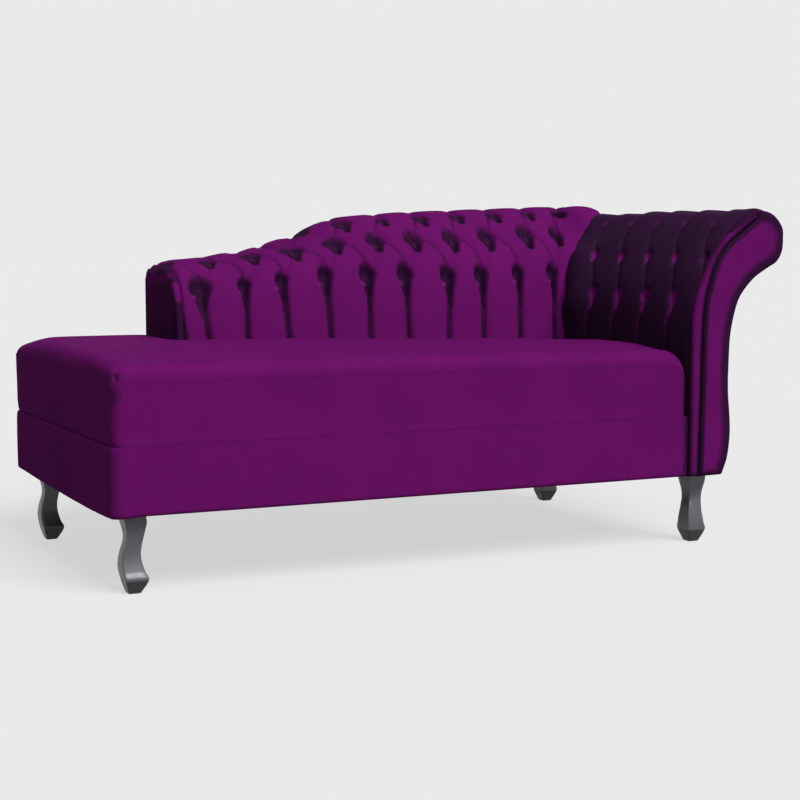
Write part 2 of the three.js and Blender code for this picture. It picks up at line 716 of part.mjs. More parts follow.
// A triangular brace in a corner of the base: distances from the leg bolt to the rails, and
// the directions from the bolt towards them.
function cornerBlock(toSide, toEnd, left, front) {
  const far = BLOCK_REACH;
  const corner = [
    [-toSide, -toEnd], [far - toSide, -toEnd], [far - toSide, 16 - toEnd],
    [16 - toSide, far - toEnd], [-toSide, far - toEnd],
  ];
  const shape = new THREE.Shape(corner.map(([a, b]) => new THREE.Vector2(a * left, b * front)));
  shape.holes.push(new THREE.Path().absarc(0, 0, 5, 0, 2 * Math.PI));
  return prism("z", shape, 0, BLOCK_HEIGHT);
}

function legOutline(side) {
  const at = ([a, b]) => new THREE.Vector2(side * a, b);
  const outline = new THREE.Shape();
  outline.moveTo(-side * LEG_BLOCK, LEG_HEIGHT);
  outline.lineTo(side * LEG_HEEL_SIDE[0][0], LEG_HEEL_SIDE[0][1]);
  outline.splineThru(LEG_HEEL_SIDE.slice(1).map(at));
  outline.lineTo(side * LEG_SOLE, 0);
  outline.lineTo(side * LEG_TOE_TIP[0], LEG_TOE_TIP[1]);
  outline.splineThru(LEG_TOE_SIDE.map(at));
  outline.lineTo(side * LEG_BLOCK, LEG_HEIGHT);
  return outline;
}

// The same outline sawn from two neighbouring sides of one block, with a blind bore for the bolt.
function leg() {
  const fromFront = prism("y", legOutline(1), -LEG_SPREAD, LEG_SPREAD, 0, 2);
  const fromSide = prism("x", legOutline(-1), -LEG_SPREAD, LEG_SPREAD, 0, 2);
  const bore = new THREE.CylinderGeometry(4.4, 4.4, 60, 8).rotateX(Math.PI / 2);
  return cut(keep(fromFront, fromSide), bore.translate(0, 0, LEG_HEIGHT - 20));
}

function legBolt() {
  const nut = BLOCK_HEIGHT + 2;
  const tip = nut + 11;
  const nutSide = [[4, nut], [8, nut], [8, nut + 6.5], [4, nut + 6.5]];
  const profile = [[0, -45], [4, -45], ...nutSide, [4, tip], [0, tip]];
  return new THREE.LatheGeometry(profile.map(([r, h]) => new THREE.Vector2(r, h)), 8).rotateX(Math.PI / 2);
}

// A webbing strap, stapled flat on each rail it crosses and sagging a little between them.
function strap(rails) {
  const sag = 4;
  const line = [];
  rails.forEach(([near, far], i) => {
    line.push([near, 0], [far, 0]);
    if (i + 1 === rails.length) return;
    const open = rails[i + 1][0] - far;
    for (const share of [0.2, 0.5, 0.8]) line.push([far + open * share, -sag * Math.sin(Math.PI * share)]);
  });
  const under = line.map(([y, z]) => [y, z - 2]).reverse();
  return prism("x", [...line, ...under], 0, STRAP_WIDTH);
}

function crossRail(depth) {
  const low = RAIL_BOTTOM;
  const shape = new THREE.Shape();
  shape.moveTo(0, low);
  shape.lineTo(60, low);
  shape.quadraticCurveTo(depth / 2, low + 50, depth - 60, low);
  shape.lineTo(depth, low);
  shape.lineTo(depth, CROSS_RAIL_TOP);
  shape.lineTo(0, CROSS_RAIL_TOP);
  return prism("x", shape, 0, RAIL_THICKNESS, 0, 8);
}

function dustCover() {
  const edge = rectangle(PADDING + 1, 1420, PADDING + 1, REAR_FACE - PADDING - 1);
  const shape = new THREE.Shape(edge.map(([x, y]) => new THREE.Vector2(x, y)));
  for (const { x, y } of LEGS) shape.holes.push(new THREE.Path().absarc(x, y, 6, 0, 2 * Math.PI));
  return prism("z", shape, LEG_HEIGHT + GAP, LEG_HEIGHT + GAP + 1, 0, 3);
}

// Each leg: its place, its quarter turns, and the corner that its block braces
const LEGS = [
  { name: "front_left", x: LEG_INSET, y: LEG_FRONT, turns: 0, brace: [24, 34, 1, 1] },
  { name: "rear_left", x: LEG_INSET, y: LEG_REAR, turns: 0, brace: [24, 32, 1, -1] },
  { name: "front_right", x: LEG_RIGHT, y: LEG_FRONT, turns: 1, brace: [20, 34, -1, 1] },
  { name: "rear_right", x: LEG_RIGHT, y: LEG_REAR, turns: 1, brace: [20, 32, -1, -1] },
];

// Assembly

function piece(parent, name, geometry, finish, x = 0, y = 0, z = 0, turn = 0) {
  const mesh = new THREE.Mesh(geometry, new THREE.MeshStandardMaterial(finish));
  mesh.name = name;
  mesh.position.set(x, y, z);
  mesh.rotation.z = turn;
  parent.add(mesh);
  return mesh;
}

function makeBase() {
  const base = new THREE.Group();
  const inner = PADDING + GAP;
  const rearRail = REAR_FACE - PADDING - RAIL_THICKNESS;
  const railEnd = ARM_INNER_FACE + 3;
  const frontClear = PADDING + RAIL_THICKNESS + GAP;
  const rail = (name, axis, near, thickness, low, from, to) => {
    piece(base, name, prism(axis, rectangle(near, near + thickness, low, RAIL_TOP), from, to, 1.5), PINE);
  };
  rail("front_rail", "x", PADDING, RAIL_THICKNESS, RAIL_BOTTOM, inner, railEnd);
  rail("rear_rail", "x", rearRail, RAIL_THICKNESS - GAP, RAIL_BOTTOM, inner, railEnd);
  rail("left_rail", "y", inner, RAIL_THICKNESS - GAP, RAIL_BOTTOM, frontClear, rearRail - GAP);
  const betweenBoards = [ARM_BOARD + 1, CREST_BOARD_FRONT - GAP];
  rail("right_rail", "y", RIGHT_RAIL, RAIL_THICKNESS, RIGHT_RAIL_BOTTOM, ...betweenBoards);
  rail("seat_rear_rail", "x", SEAT_REAR_RAIL, RAIL_THICKNESS, RAIL_BOTTOM, frontClear, RIGHT_RAIL - GAP);
  const acrossSeat = SEAT_REAR_RAIL - frontClear - GAP;
  CROSS_RAIL_PLACES.forEach((x, i) => {
    piece(base, "cross_rail_" + (i + 1), crossRail(acrossSeat), PINE, x, frontClear, 0);
  });
  for (const { name, x, y, turns, brace } of LEGS) {
    piece(base, "corner_block_" + name, cornerBlock(...brace), PINE, x, y, RAIL_BOTTOM);
    piece(base, "leg_" + name, leg(), PAINTED, x, y, 0, (turns * Math.PI) / 2);
    piece(base, "leg_bolt_" + name, legBolt(), STEEL, x, y, LEG_HEIGHT);
  }
  piece(base, "dust_cover", dustCover(), WEBBING);
  const seatRailEnd = SEAT_REAR_RAIL + RAIL_THICKNESS;
  const onFront = [PADDING + 3, PADDING + RAIL_THICKNESS + 1];
  const short = [onFront, [SEAT_REAR_RAIL - 1, seatRailEnd - 3]];
  const onRear = [rearRail - 1, rearRail + RAIL_THICKNESS - 3];
  const long = [onFront, [SEAT_REAR_RAIL - 1, seatRailEnd + 1], onRear];
  STRAP_PLACES.forEach((x, i) => {
    const held = x < CHAISE_LENGTH ? long : short;
    piece(base, "webbing_strap_" + (i + 1), strap(held), WEBBING, x, 0, RAIL_TOP + GAP + 2);
  });
  return base;
}

function makeSeat() {
  const seat = new THREE.Group();
  piece(seat, "seat_pad", seatPad(), VELVET);
  const seam = 0.25;
  const length = ARM_INNER_FACE - seam;
  piece(seat, "band_front", band(length, true, false), VELVET, seam, 0, 0);
  const depth = REAR_FACE - 2 * seam;
  piece(seat, "band_left", band(depth, true, true), VELVET, 0, REAR_FACE - seam, 0, -Math.PI / 2);
  piece(seat, "band_rear", band(length, false, true), VELVET, length + seam, REAR_FACE, 0, Math.PI);
  return seat;
}

function makeBack() {
  const back = new THREE.Group();
  RIB_PLACES.forEach((x, i) => piece(back, "back_rib_" + (i + 1), backRib(x), PLYWOOD, x, 0, 0));
  piece(back, "back_crest_board", crestBoard(), PLYWOOD);
  piece(back, "back_lining", backLining(), PLYWOOD);
  piece(back, "back_pad", backPad(), VELVET);
  piece(back, "back_end_cover", backEndCover(), VELVET);
  piece(back, "outside_back", outsideBack(), VELVET);
  return back;
}

function makeArm() {
  const arm = new THREE.Group();
  const outline = armBoardOutline();
  const [front, rear] = [ARM_BOARD + 0.7, CREST_BOARD_FRONT - 2 * GAP];
  piece(arm, "arm_top_rail", prism("y", ARM_TOP_RAIL, front, rear, 1.5), PINE);
  piece(arm, "arm_seat_rail", prism("y", ARM_SEAT_RAIL, front, rear, 1.5), PINE);
  piece(arm, "arm_board_front", prism("y", outline, 0.4, ARM_BOARD + 0.4), PLYWOOD);
  const rearBoard = prism("y", outline, CREST_BOARD_FRONT, CREST_BOARD_FRONT + ARM_BOARD);
  piece(arm, "arm_board_rear", rearBoard, PLYWOOD);
  piece(arm, "arm_lining", armLining(), PLYWOOD);
  piece(arm, "arm_pad", armPad(), VELVET);
  piece(arm, "arm_outer_cover", armOuterCover(), VELVET);
  piece(arm, "arm_facing", armFacing(), VELVET);
  piece(arm, "arm_border", armBorder(), VELVET);
  return arm;
}

const couch = new THREE.Group();
couch.add(makeBase(), makeSeat(), makeBack(), makeArm());
couch.position.set(-TOTAL_LENGTH / 2, -(REAR_FACE - FRONT_PROUD) / 2, 0);

export default couch;
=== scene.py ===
"""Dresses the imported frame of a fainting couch: velvet over a box seat, a deep-buttoned back
with a falling top line, one buttoned scroll arm, lacquered cabriole legs, and a plain stage.

Places are in millimetres from the seat's front left corner at floor level, +X towards the arm,
+Y to the rear, +Z up. to_frame() turns them into the frame's metres.
"""

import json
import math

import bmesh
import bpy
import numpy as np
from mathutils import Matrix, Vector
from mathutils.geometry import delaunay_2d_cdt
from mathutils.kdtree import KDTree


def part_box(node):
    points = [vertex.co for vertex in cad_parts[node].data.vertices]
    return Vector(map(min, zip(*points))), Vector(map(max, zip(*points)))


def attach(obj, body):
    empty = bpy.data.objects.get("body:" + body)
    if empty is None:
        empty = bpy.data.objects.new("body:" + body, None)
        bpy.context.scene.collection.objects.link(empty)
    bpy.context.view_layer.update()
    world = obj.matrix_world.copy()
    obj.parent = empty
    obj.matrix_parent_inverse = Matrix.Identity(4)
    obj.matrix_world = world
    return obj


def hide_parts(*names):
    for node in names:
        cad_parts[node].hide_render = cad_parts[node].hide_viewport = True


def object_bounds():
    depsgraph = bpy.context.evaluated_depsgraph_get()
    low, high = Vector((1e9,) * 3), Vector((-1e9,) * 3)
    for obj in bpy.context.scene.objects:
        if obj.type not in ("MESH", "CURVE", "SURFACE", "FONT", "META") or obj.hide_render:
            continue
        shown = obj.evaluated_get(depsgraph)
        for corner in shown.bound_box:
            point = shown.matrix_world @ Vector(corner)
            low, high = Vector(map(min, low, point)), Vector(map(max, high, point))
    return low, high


bl_info = {
    "name": "Fainting Couch",
    "version": (1, 0, 0),
    "blender": (4, 5, 0),
    "location": "View3D > Sidebar > Couch",
    "description": "Builds the upholstery, legs and stage of a buttoned fainting couch",
    "category": "Object",
}

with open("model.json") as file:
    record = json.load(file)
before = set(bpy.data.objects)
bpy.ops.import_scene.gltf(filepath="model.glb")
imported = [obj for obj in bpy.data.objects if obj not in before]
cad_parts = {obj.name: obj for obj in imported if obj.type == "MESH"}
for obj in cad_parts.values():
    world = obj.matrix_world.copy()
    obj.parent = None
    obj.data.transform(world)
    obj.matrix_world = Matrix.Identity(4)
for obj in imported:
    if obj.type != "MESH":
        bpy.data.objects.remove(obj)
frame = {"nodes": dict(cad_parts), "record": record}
CAD_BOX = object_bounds()

# Places read from the frame
MM = 0.001
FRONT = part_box("seat_pad")[0].y
ORIGIN = np.array((CAD_BOX[0].x, FRONT, 0.0))


def reach_of(node, axis, high=True):
    """A CAD node's lowest or highest place along one axis, in millimetres from the corner."""
    return (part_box(node)[1 if high else 0][axis] - ORIGIN[axis]) / MM


LENGTH = reach_of("arm_pad", 0)
REAR = reach_of("outside_back", 1)
PAD_REAR = reach_of("back_pad", 1)
LEG_HEIGHT = reach_of("leg_front_left", 2)
SEAM = reach_of("band_front", 2)
ARM_INNER = reach_of("arm_pad", 0, high=False)
SEAT_RIGHT = reach_of("seat_pad", 0)
SEAT_REAR = reach_of("seat_pad", 1)
BACK_END = reach_of("back_end_cover", 0, high=False)
PAD_LEFT = reach_of("back_pad", 0, high=False)

# Plan of the base: where the seat meets the back, where the open end stops, and its corners' radii
SEAT_BACK_LINE = 533.5
CHAISE_END = 313.0
NEAR_CORNER = 26.0
REAR_CORNER = 6.0
ARM_CORNER = 9.0
# The seat's height under its crown
SEAT_HEIGHT = 447

# Buttoned back: each button's place along the couch and height, row by row from the lowest
LOW_ROW = [(385, 576), (492, 588), (586, 600), (697, 610), (807, 610), (907, 610), (1025, 604), (1118, 605),
           (1223, 612), (1323, 611)]
MIDDLE_ROW = [(331, 624), (429, 637), (537, 648), (641, 661), (749, 676), (859, 681), (967, 685), (1074, 690),
              (1175, 693), (1288, 700), (1378, 700)]
UPPER_ROW = [(694, 708), (801, 729), (911, 740), (1018, 744), (1122, 752), (1229, 758), (1330, 764),
             (1414, 767)]
# How large the hollow round each of these buttons is
LOW_PULL = [1.3, 0.75, 0.78, 0.9, 1.0, 1.0, 1.0, 0.92, 0.78, 0.8]
MIDDLE_PULL = [1.1, 0.9, 1.15, 1.35, 1.15, 1.0, 1.0, 0.95, 1.0, 1.0, 0.8]
UPPER_PULL = [1.0, 1.2, 0.75, 1.0, 0.95, 1.0, 0.9, 0.65]
# Where the pleats meet the crest and the seat
CREST_FOLDS = [346, 442, 541, 607, 687, 786, 901, 1003, 1114, 1219, 1331, 1446]
SEAT_FOLDS = [393, 485, 590, 695, 797, 901, 1008, 1106, 1209, 1309]
# Heights by place along the couch: the upper row's line, the crest, and each pleat's notch in the crest
UPPER_LINE = [(328, 627), (380, 640), (500, 649), (600, 662), (650, 678), (700, 706), (800, 730), (910, 740),
              (1600, 768)]
CREST_LINE = [(328, 626), (345, 634), (380, 640), (455, 645), (505, 655), (560, 661), (650, 688), (695, 697),
              (745, 722), (800, 742), (860, 745), (920, 750), (1000, 757), (1350, 770), (1430, 771),
              (1500, 772), (1530, 769), (1548, 764), (1562, 757), (1592, 739)]
CREST_NOTCHES = [(442, 7), (541, 6), (607, 4), (687, 8), (786, 8), (901, 8), (1003, 7), (1114, 7), (1219, 7),
                 (1331, 7), (1446, 6)]
NOTCH_WIDTH = 12
# By row, from below the seat to the crest: depth in the couch, distance up the padding, and swell at each end
ROW_DEPTHS = [570, 570, 595, 658, 735, PAD_REAR]
ROW_ARCS = [-144, 0, 160, 266, 368, 440]
PUFF_LEFT = [0, 35, 32, 17, 9, 8]
PUFF_RIGHT = [0, 35, 33, 30, 19, 8]
# How far the back comes forward over the arm, by row
OVER_ARM = [(1.5, 0), (2.0, 22), (2.4, 44), (2.8, 60), (3.2, 56), (3.6, 30), (4.0, 0)]
# The back's even grid ends here; from here its columns fan out to where it tucks into the arm
BACK_EVEN_END = 1335
BACK_FAN_WIDTH = 240
BACK_END_GUESS = 1480.0
BACK_TUCK = [(735, 1466), (752, 1556), (768, 1576)]
# The usual distance between two rows, and how far the back's inner skin lies behind the buttons
BACK_ROW_STEP = 112
BACK_INNER_DEPTH = 10.0
# Where painted shade starts: along the back's open end by distance up, and up the end cover by depth
SHADED_END = [(0, 339), (60, 334), (100, 326), (130, 318), (170, 310)]
END_SHADE = [(552, 545), (577, 571), (607, 600), (735, 600), (760, 578), (790, 568)]

# Buttoned arm: the scroll's outline seen from the front, inside and over the top, then down the outside
ARM_CURVE = [(ARM_INNER, 302), (ARM_INNER, 445), (1345, 560), (1390, 657), (1458, 741), (1508, 768),
             (1556, 757), (1584, 728), (LENGTH, 699), (1585, 669), (1570, 645), (1544, 631)]
ARM_OUTER = [(1544, 631), (1509, 610), (1481, 583), (1461, 551), (1445, 487), (1441, 415), (1441, 355),
             (1448, 269), (1442, 205), (1426, LEG_HEIGHT)]
# For each point of ARM_CURVE: distance along the padding, and its swell
ARM_ARCS = [-143, 0, 116, 223, 331, 388, 440, 480, 510, 545, 580, 612]
ARM_PUFFS = [0, 20, 24, 22, 18, 11, 5, 3, 3, 3, 3, 3]
# The arm's front: how far its trims stop before the arm, and the groove between them
TRIM_REAR = 0.6
ARM_GROOVE = [(1361, 162), (1362, 250), (1364, 337), (1366, 476), (1371, 550), (1383, 600), (1402, 648),
              (1432, 686), (1472, 716), (1514, 745)]
# The first button's place from the front, the distance between two, and the usual one between two rows
ARM_BUTTON_START = 88
ARM_PITCH = 114.4
ARM_ROW_STEP = 102
# The pleat where the arm meets the back: places from the front and distances up the arm
ARM_JOINT = [(566, -20), (570, 116), (600, 223), (640, 331)]

# Legs: the sawn outline on the heel side and the toe side by height, quarter turns, and the edges' radius
HEEL = [(0, 12.5), (24, 20), (53, 25), (80, 22.4), (102, 17), (121, 16.4), (150, 22.5), (162, 22.5)]
TOE = [(0, 12), (28, 25.7), (45, 19.6), (68, 14.2), (90, 14), (120, 19.4), (141, 23.4), (155, 22.5),
       (162, 22.5)]
LEGS = {"front_left": 0, "rear_left": 0, "front_right": 1, "rear_right": 1}
LEG_EDGE = 2.2

# Lower band: its first levels below the seam, its thickness, and its sag at the open end by depth
BAND_STEPS = [0, 0.3, 0.9, 2, 3.5, 6, 8.5, 11]
BAND_DEPTH = 9.4
END_SAG = [(0, 3), (60, 5.5), (170, 7.5), (330, 7), (600, 4), (750, 0.5), (800, 0)]

# Covered button: share of its radius and height, from the top of its dome to its foot, and its sides
BUTTON_PROFILE = [(0, 4.2), (0.3, 4.0), (0.6, 3.2), (0.82, 2.0), (0.95, 0.6), (1.0, -0.6), (0.93, -2.4),
                  (0.6, -3.4)]
BUTTON_SIDES = 20
# How much painted highlight the low row's buttons carry, how deep they sit in the padding, and how far the
# others stand out
BUTTON_LIT = 0.42
BUTTON_SINK = 3.4
BUTTON_LIFT = 3.0

# Rings of points inside the rim of a panel, by their distance from it
PANEL_INSETS = (1.2, 2.6, 4.2, 6, 8, 10.5, 14)

# The seat's cloth simulation: size of its mesh in metres, frames, and the furthest that a point follows it
CLOTH_MESH, CLOTH_FRAMES, CLOTH_REACH = 0.011, 20, 2.2
CLOTH_PRESSURE = 4

# A short step along a curve, to find its direction
SMALL_STEP = 0.02

# How deep a hollow is, as a share of the padding, and the seeds of the puckers' random places
PIT_DEPTH = 0.85
BACK_SEED, ARM_SEED = 3, 11


def size_property(name, description, value, **limits):
    return bpy.props.FloatProperty(name=name, description=description, default=value, unit="LENGTH", **limits)


class CouchSizes(bpy.types.PropertyGroup):
    """Sizes of the upholstery that the solids leave open"""

    grid: size_property("Surface step", "Distance between points of a buttoned surface", 0.0042, min=0.002)
    fold_width: size_property("Fold width", "Half width of the hollow round a button", 0.050)
    button: size_property("Button", "Diameter of a covered button", 0.018)
    seat_edge: size_property("Seat edge", "Radius of the seat's upper edge", 0.028)
    seam_dip: size_property("Seam dip", "How far the cloth draws in at the seam below the seat", 0.005)
    trim_edge: size_property("Trim edge", "Radius of the padded edge of the arm's front trims", 0.013)


def colour_property(name, description, value):
    return bpy.props.FloatVectorProperty(
        name=name, description=description, default=value, subtype="COLOR", min=0, max=1)


class CouchColours(bpy.types.PropertyGroup):
    """Colours of the couch's finishes"""

    velvet: colour_property("Velvet", "The velvet with its pile lying smooth", (0.122, 0.0056, 0.109))
    velvet_brushed: colour_property("Brushed velvet", "The velvet brushed up", (0.096, 0.0052, 0.089))
    # Painted shade: the dark tone mixed into the plain velvet in its hollows, grooves and shaded margins, and
    # the patch tone of the velvet in painted shade
    velvet_painted_shade: colour_property("Crushed velvet", "The velvet in the hollows", (0.022, 0.0060, 0.026))
    # Painted highlight: the bright tone mixed into the velvet in painted shade where its mask marks it
    velvet_lit: colour_property("Lit velvet", "The velvet with its pile to the light", (0.26, 0.012, 0.24))
    # Painted shade: a dark copy of the velvet's tone, used for the arm's pad and the buttons
    velvet_shaded: colour_property("Velvet from behind", "Velvet against its pile", (0.041, 0.0125, 0.047))
    velvet_sheen: colour_property("Velvet sheen", "The glow along the pile's edges", (0.55, 0.16, 0.62))
    lacquer: colour_property("Leg lacquer", "Silver-grey lacquer", (0.125, 0.128, 0.145))
    # Also gives the painted shade on the lowest part of each leg
    lacquer_worn_and_sole_shade: colour_property("Worn lacquer", "The lacquer rubbed thin", (0.075, 0.072, 0.078))
    pine: colour_property("Pine", "Planed softwood of the rails", (0.60, 0.38, 0.18))
    plywood: colour_property("Plywood", "Face of the plywood boards", (0.50, 0.33, 0.17))
    hardboard: colour_property("Hardboard", "Thin board behind the buttoned pads", (0.20, 0.11, 0.055))
    webbing: colour_property("Webbing", "Elastic webbing under the seat", (0.030, 0.030, 0.034))
    lining: colour_property("Bottom cloth", "Thin black cloth under the base", (0.012, 0.012, 0.013))
    steel: colour_property("Bolt steel", "Zinc-plated bolts", (0.50, 0.51, 0.53))
    floor: colour_property("Floor", "Pale studio floor", (0.794, 0.794, 0.794))
    background: colour_property("Background", "Pale studio wall", (0.823, 0.823, 0.823))


# Curves and grids


def to_frame(points):
    return np.asarray(points, float) * MM + ORIGIN


def smooth(values, place):
    """A smooth curve through evenly stepped values; a row of values per step gives one curve per point."""
    values = np.asarray(values, float)
    place = np.asarray(place, float)
    last = len(values) - 1
    at = np.clip(place, 0, last - 1e-9)
    step = np.floor(at).astype(int)
    f = at - step

    def value(k):
        row = np.clip(step + k, 0, last)
        return values[row] if values.ndim == 1 else values[row, np.arange(values.shape[1])]

    a, b, c, d = value(-1), value(0), value(1), value(2)
    square, cube = 2 * a - 5 * b + 4 * c - d, 3 * b - a - 3 * c + d
    return 0.5 * (2 * b + (c - a) * f + square * f ** 2 + cube * f ** 3)


def smooth_line(line, place):
    """A smooth plane curve through a list of points: its two coordinates at each place."""
    return [smooth(values, place) for values in zip(*line)]


def beside_line(line, place, offset):
    """Points of a smooth plane curve, moved square to it by an offset."""
    held = np.clip(place, 0.05, len(line) - 1.05)
    x, z = smooth_line(line, place)
    (x0, z0), (x1, z1) = (smooth_line(line, held + step) for step in (-SMALL_STEP, SMALL_STEP))
    dx, dz = x1 - x0, z1 - z0
    size = np.hypot(dx, dz)
    return x - dz / size * offset, z + dx / size * offset


def straight(values, place):
    return np.interp(place, np.arange(len(values)), values)


def along(line, x):
    return np.interp(x, *zip(*line))


def blend(low, high, x):
    """Rises smoothly from 0 at low to 1 at high."""
    t = np.clip((np.asarray(x, float) - low) / (high - low), 0, 1)
    return t * t * (3 - 2 * t)


def fade(low, high, x):
    """Falls smoothly from 1 at low to 0 at high."""
    return 1 - blend(low, high, x)


def bump(x, centre, width):
    return np.exp(-(((np.asarray(x, float) - centre) / width) ** 2))


def stretches(*parts):
    """Places along a line from (start, end, step) stretches that follow each other."""
    found = [np.array([parts[0][0]], float)]
    for start, end, step in parts:
        count = max(1, int(round(abs(end - start) / step)))
        found.append(np.linspace(start, end, count + 1)[1:])
    return np.concatenate(found)


# Meshes


def piece_from(name, points, faces, material, slot, painted_shade_and_light=None):
    """A mesh object that rides with the couch; the mask argument tells, point by point, where a painted tone
    goes: painted shade on the plain velvet, painted highlight on the velvet in painted shade.
    """
    mesh = bpy.data.meshes.new(name)
    mesh.from_pydata([tuple(p) for p in points], [], [tuple(int(k) for k in face) for face in faces])
    build = bmesh.new()
    build.from_mesh(mesh)
    bmesh.ops.recalc_face_normals(build, faces=build.faces)
    build.to_mesh(mesh)
    build.free()
    mesh.polygons.foreach_set("use_smooth", [True] * len(mesh.polygons))
    if painted_shade_and_light is not None:
        marks = np.zeros(len(mesh.vertices), np.float32)
        marks[:len(painted_shade_and_light)] = painted_shade_and_light
        mesh.attributes.new("painted_shade_and_light", "FLOAT", "POINT").data.foreach_set("value", marks)
    mesh.materials.append(material)
    piece = bpy.data.objects.new(name, mesh)
    bpy.context.scene.collection.objects.link(piece)
    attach(piece, "root")
    return piece


def quads(at):
    return np.stack([at[:-1, :-1], at[1:, :-1], at[1:, 1:], at[:-1, 1:]], -1).reshape(-1, 4)


def placed_shell(outer, inner):
    """A closed skin between two grids of points of one size, joined round their rims."""
    columns, rows = outer.shape[:2]
    at = np.arange(columns * rows).reshape(columns, rows)
    rim = np.concatenate([at[:, 0], at[-1, 1:], at[-2::-1, -1], at[0, -2:0:-1]])
    onward = np.roll(rim, -1)
    beyond = columns * rows
    sides = np.stack([rim, onward, onward + beyond, rim + beyond], -1)
    points = np.concatenate([outer.reshape(-1, 3), inner.reshape(-1, 3)])
    return to_frame(points), np.concatenate([quads(at), quads(at)[:, ::-1] + beyond, sides])


def left_normals(points, closed=False):
    """Unit normals on the left of a plane line of points."""
    if closed:
        ahead = np.roll(points, -1, 0) - np.roll(points, 1, 0)
    else:
        ahead = np.gradient(points, axis=0)
    size = np.maximum(np.linalg.norm(ahead, axis=1, keepdims=True), 1e-9)
    return np.stack([-ahead[:, 1], ahead[:, 0]], -1) / size


def edge_distance(points, outline):
    """Distance from each plane point to the nearest stretch of a closed outline."""
    start, ahead = outline, np.roll(outline, -1, 0) - outline
    share = ((points[:, None] - start) * ahead).sum(-1) / np.maximum((ahead ** 2).sum(-1), 1e-9)
    nearest = start + ahead * np.clip(share, 0, 1)[..., None]
    return np.sqrt(((points[:, None] - nearest) ** 2).sum(-1)).min(1)


def line_distance(points, line):
    """Distance from each plane point to an open line."""
    return edge_distance(points, np.concatenate([line, line[-2:0:-1]]))


def fill_outline(outline, more=()):
    """Triangles inside a closed outline, through any further points; also says which points are its own."""
    points = [Vector(p) for p in (*outline, *more)]
    count = len(outline)
    found = delaunay_2d_cdt(points, [(k, (k + 1) % count) for k in range(count)], [], 1, 1e-6)
    new = {old: k for k, olds in enumerate(found[3]) for old in olds}
    return np.array([tuple(v) for v in found[0]]), [list(f) for f in found[2]], [new[k] for k in range(count)]


def panel(name, outline, near, far, depth_at, material, step=7.0, axis=1, marks=None):
    """A padded panel: an anticlockwise outline in x and z (or y and z where it faces along x), from one
    place to another along its axis. depth_at gives how far each point lies behind the near face, and marks
    where it carries painted shade."""
    outline = np.asarray(outline, float)
    inward = left_normals(outline, closed=True)
    rings = []
    for inset in PANEL_INSETS:
        ring = outline + inward * inset
        rings.append(ring[edge_distance(ring, outline) > inset - 0.15])
    low, high = outline.min(0), outline.max(0)
    grid = np.stack(np.meshgrid(np.arange(low[0], high[0], step), np.arange(low[1], high[1], step)), -1)
    grid = grid.reshape(-1, 2)
    inside = points_inside(grid, outline) & (edge_distance(grid, outline) > PANEL_INSETS[-1] + step * 0.4)
    rings.append(grid[inside])
    points, faces, rim = fill_outline(outline, np.concatenate(rings))
    away = edge_distance(points, outline)
    towards = 1 if far > near else -1
    depth = near + towards * depth_at(points, away)
    back_points, back_faces, back_rim = fill_outline(outline)
    flat = np.concatenate([points, back_points])
    along_axis = np.concatenate([depth, np.full(len(back_points), far)])
    placed = np.insert(flat, axis, along_axis, axis=1)
    shift = len(points)
    faces = faces + [[k + shift for k in face] for face in back_faces]
    for k in range(len(rim)):
        n = (k + 1) % len(rim)
        faces.append([rim[k], rim[n], back_rim[n] + shift, back_rim[k] + shift])
    return piece_from(name, to_frame(placed), faces, material, "velvet", marks and marks(flat))


def points_inside(points, outline):
    x, y = points[:, 0:1], points[:, 1:2]
    x0, y0 = outline.T
    x1, y1 = np.roll(outline, -1, 0).T
    crosses = ((y0 > y) != (y1 > y)) & (x < (x1 - x0) * (y - y0) / np.where(y1 == y0, 1e-9, y1 - y0) + x0)
    return crosses.sum(1) % 2 == 1


def arc_profile(away, reach):
    """A quarter circle's profile: 1 at its edge, 0 from its reach on."""
    return 1 - np.sqrt(1 - (1 - np.clip(away / reach, 0, 1)) ** 2)


def rounded(away, edge):
    """How far a padded edge of a radius has turned back at a distance from the outline."""
    return edge * arc_profile(away, edge)


# Buttoned surfaces, worked out flat: u runs along the couch or the arm, and v up the padding


def pleat(start, end, depths, widths, bow=0.0, shades=(0.0, 0.0), soft=0.26):
    """A fold from one place to another: its depths, half widths and how much painted tone it carries at each
    end (painted shade on the back, painted highlight on the arm).
    """
    return {"start": start, "end": end, "depths": depths, "widths": widths, "bow": bow, "shades": shades,
            "soft": soft}


def press_pleat(item, reach, u, v, height, painted_shade_and_light):
    """Presses one pleat into the heights, and marks its painted tone: shade on the back, highlight on the
    arm.
    """
    start, end = np.array(item["start"], float), np.array(item["end"], float)
    length = np.hypot(*(end - start))
    ahead = (end - start) / length
    across = np.array((-ahead[1], ahead[0]))
    widest = reach + abs(item["bow"])
    du, dv = u - start[0], v - start[1]
    share = (du * ahead[0] + dv * ahead[1]) / length
    side = du * across[0] + dv * across[1]
    near = (np.abs(side) < widest) & (share > -widest / length) & (share < 1 + widest / length)
    share, side = share[near], side[near]
    held = np.clip(share, 0, 1)
    side = side - item["bow"] * np.sin(np.pi * held)
    away = np.hypot(side, (share - held) * length)
    width, depth, shade = (first + (last - first) * held for first, last in
                           (item["widths"], item["depths"], item["shades"]))
    height[near] *= (1 - item["soft"] * arc_profile(away, reach)) * (1 - depth * arc_profile(away, width))
    painted_shade_and_light[near] = np.maximum(painted_shade_and_light[near], shade * np.exp(-((away / (width * 0.5)) ** 2)))


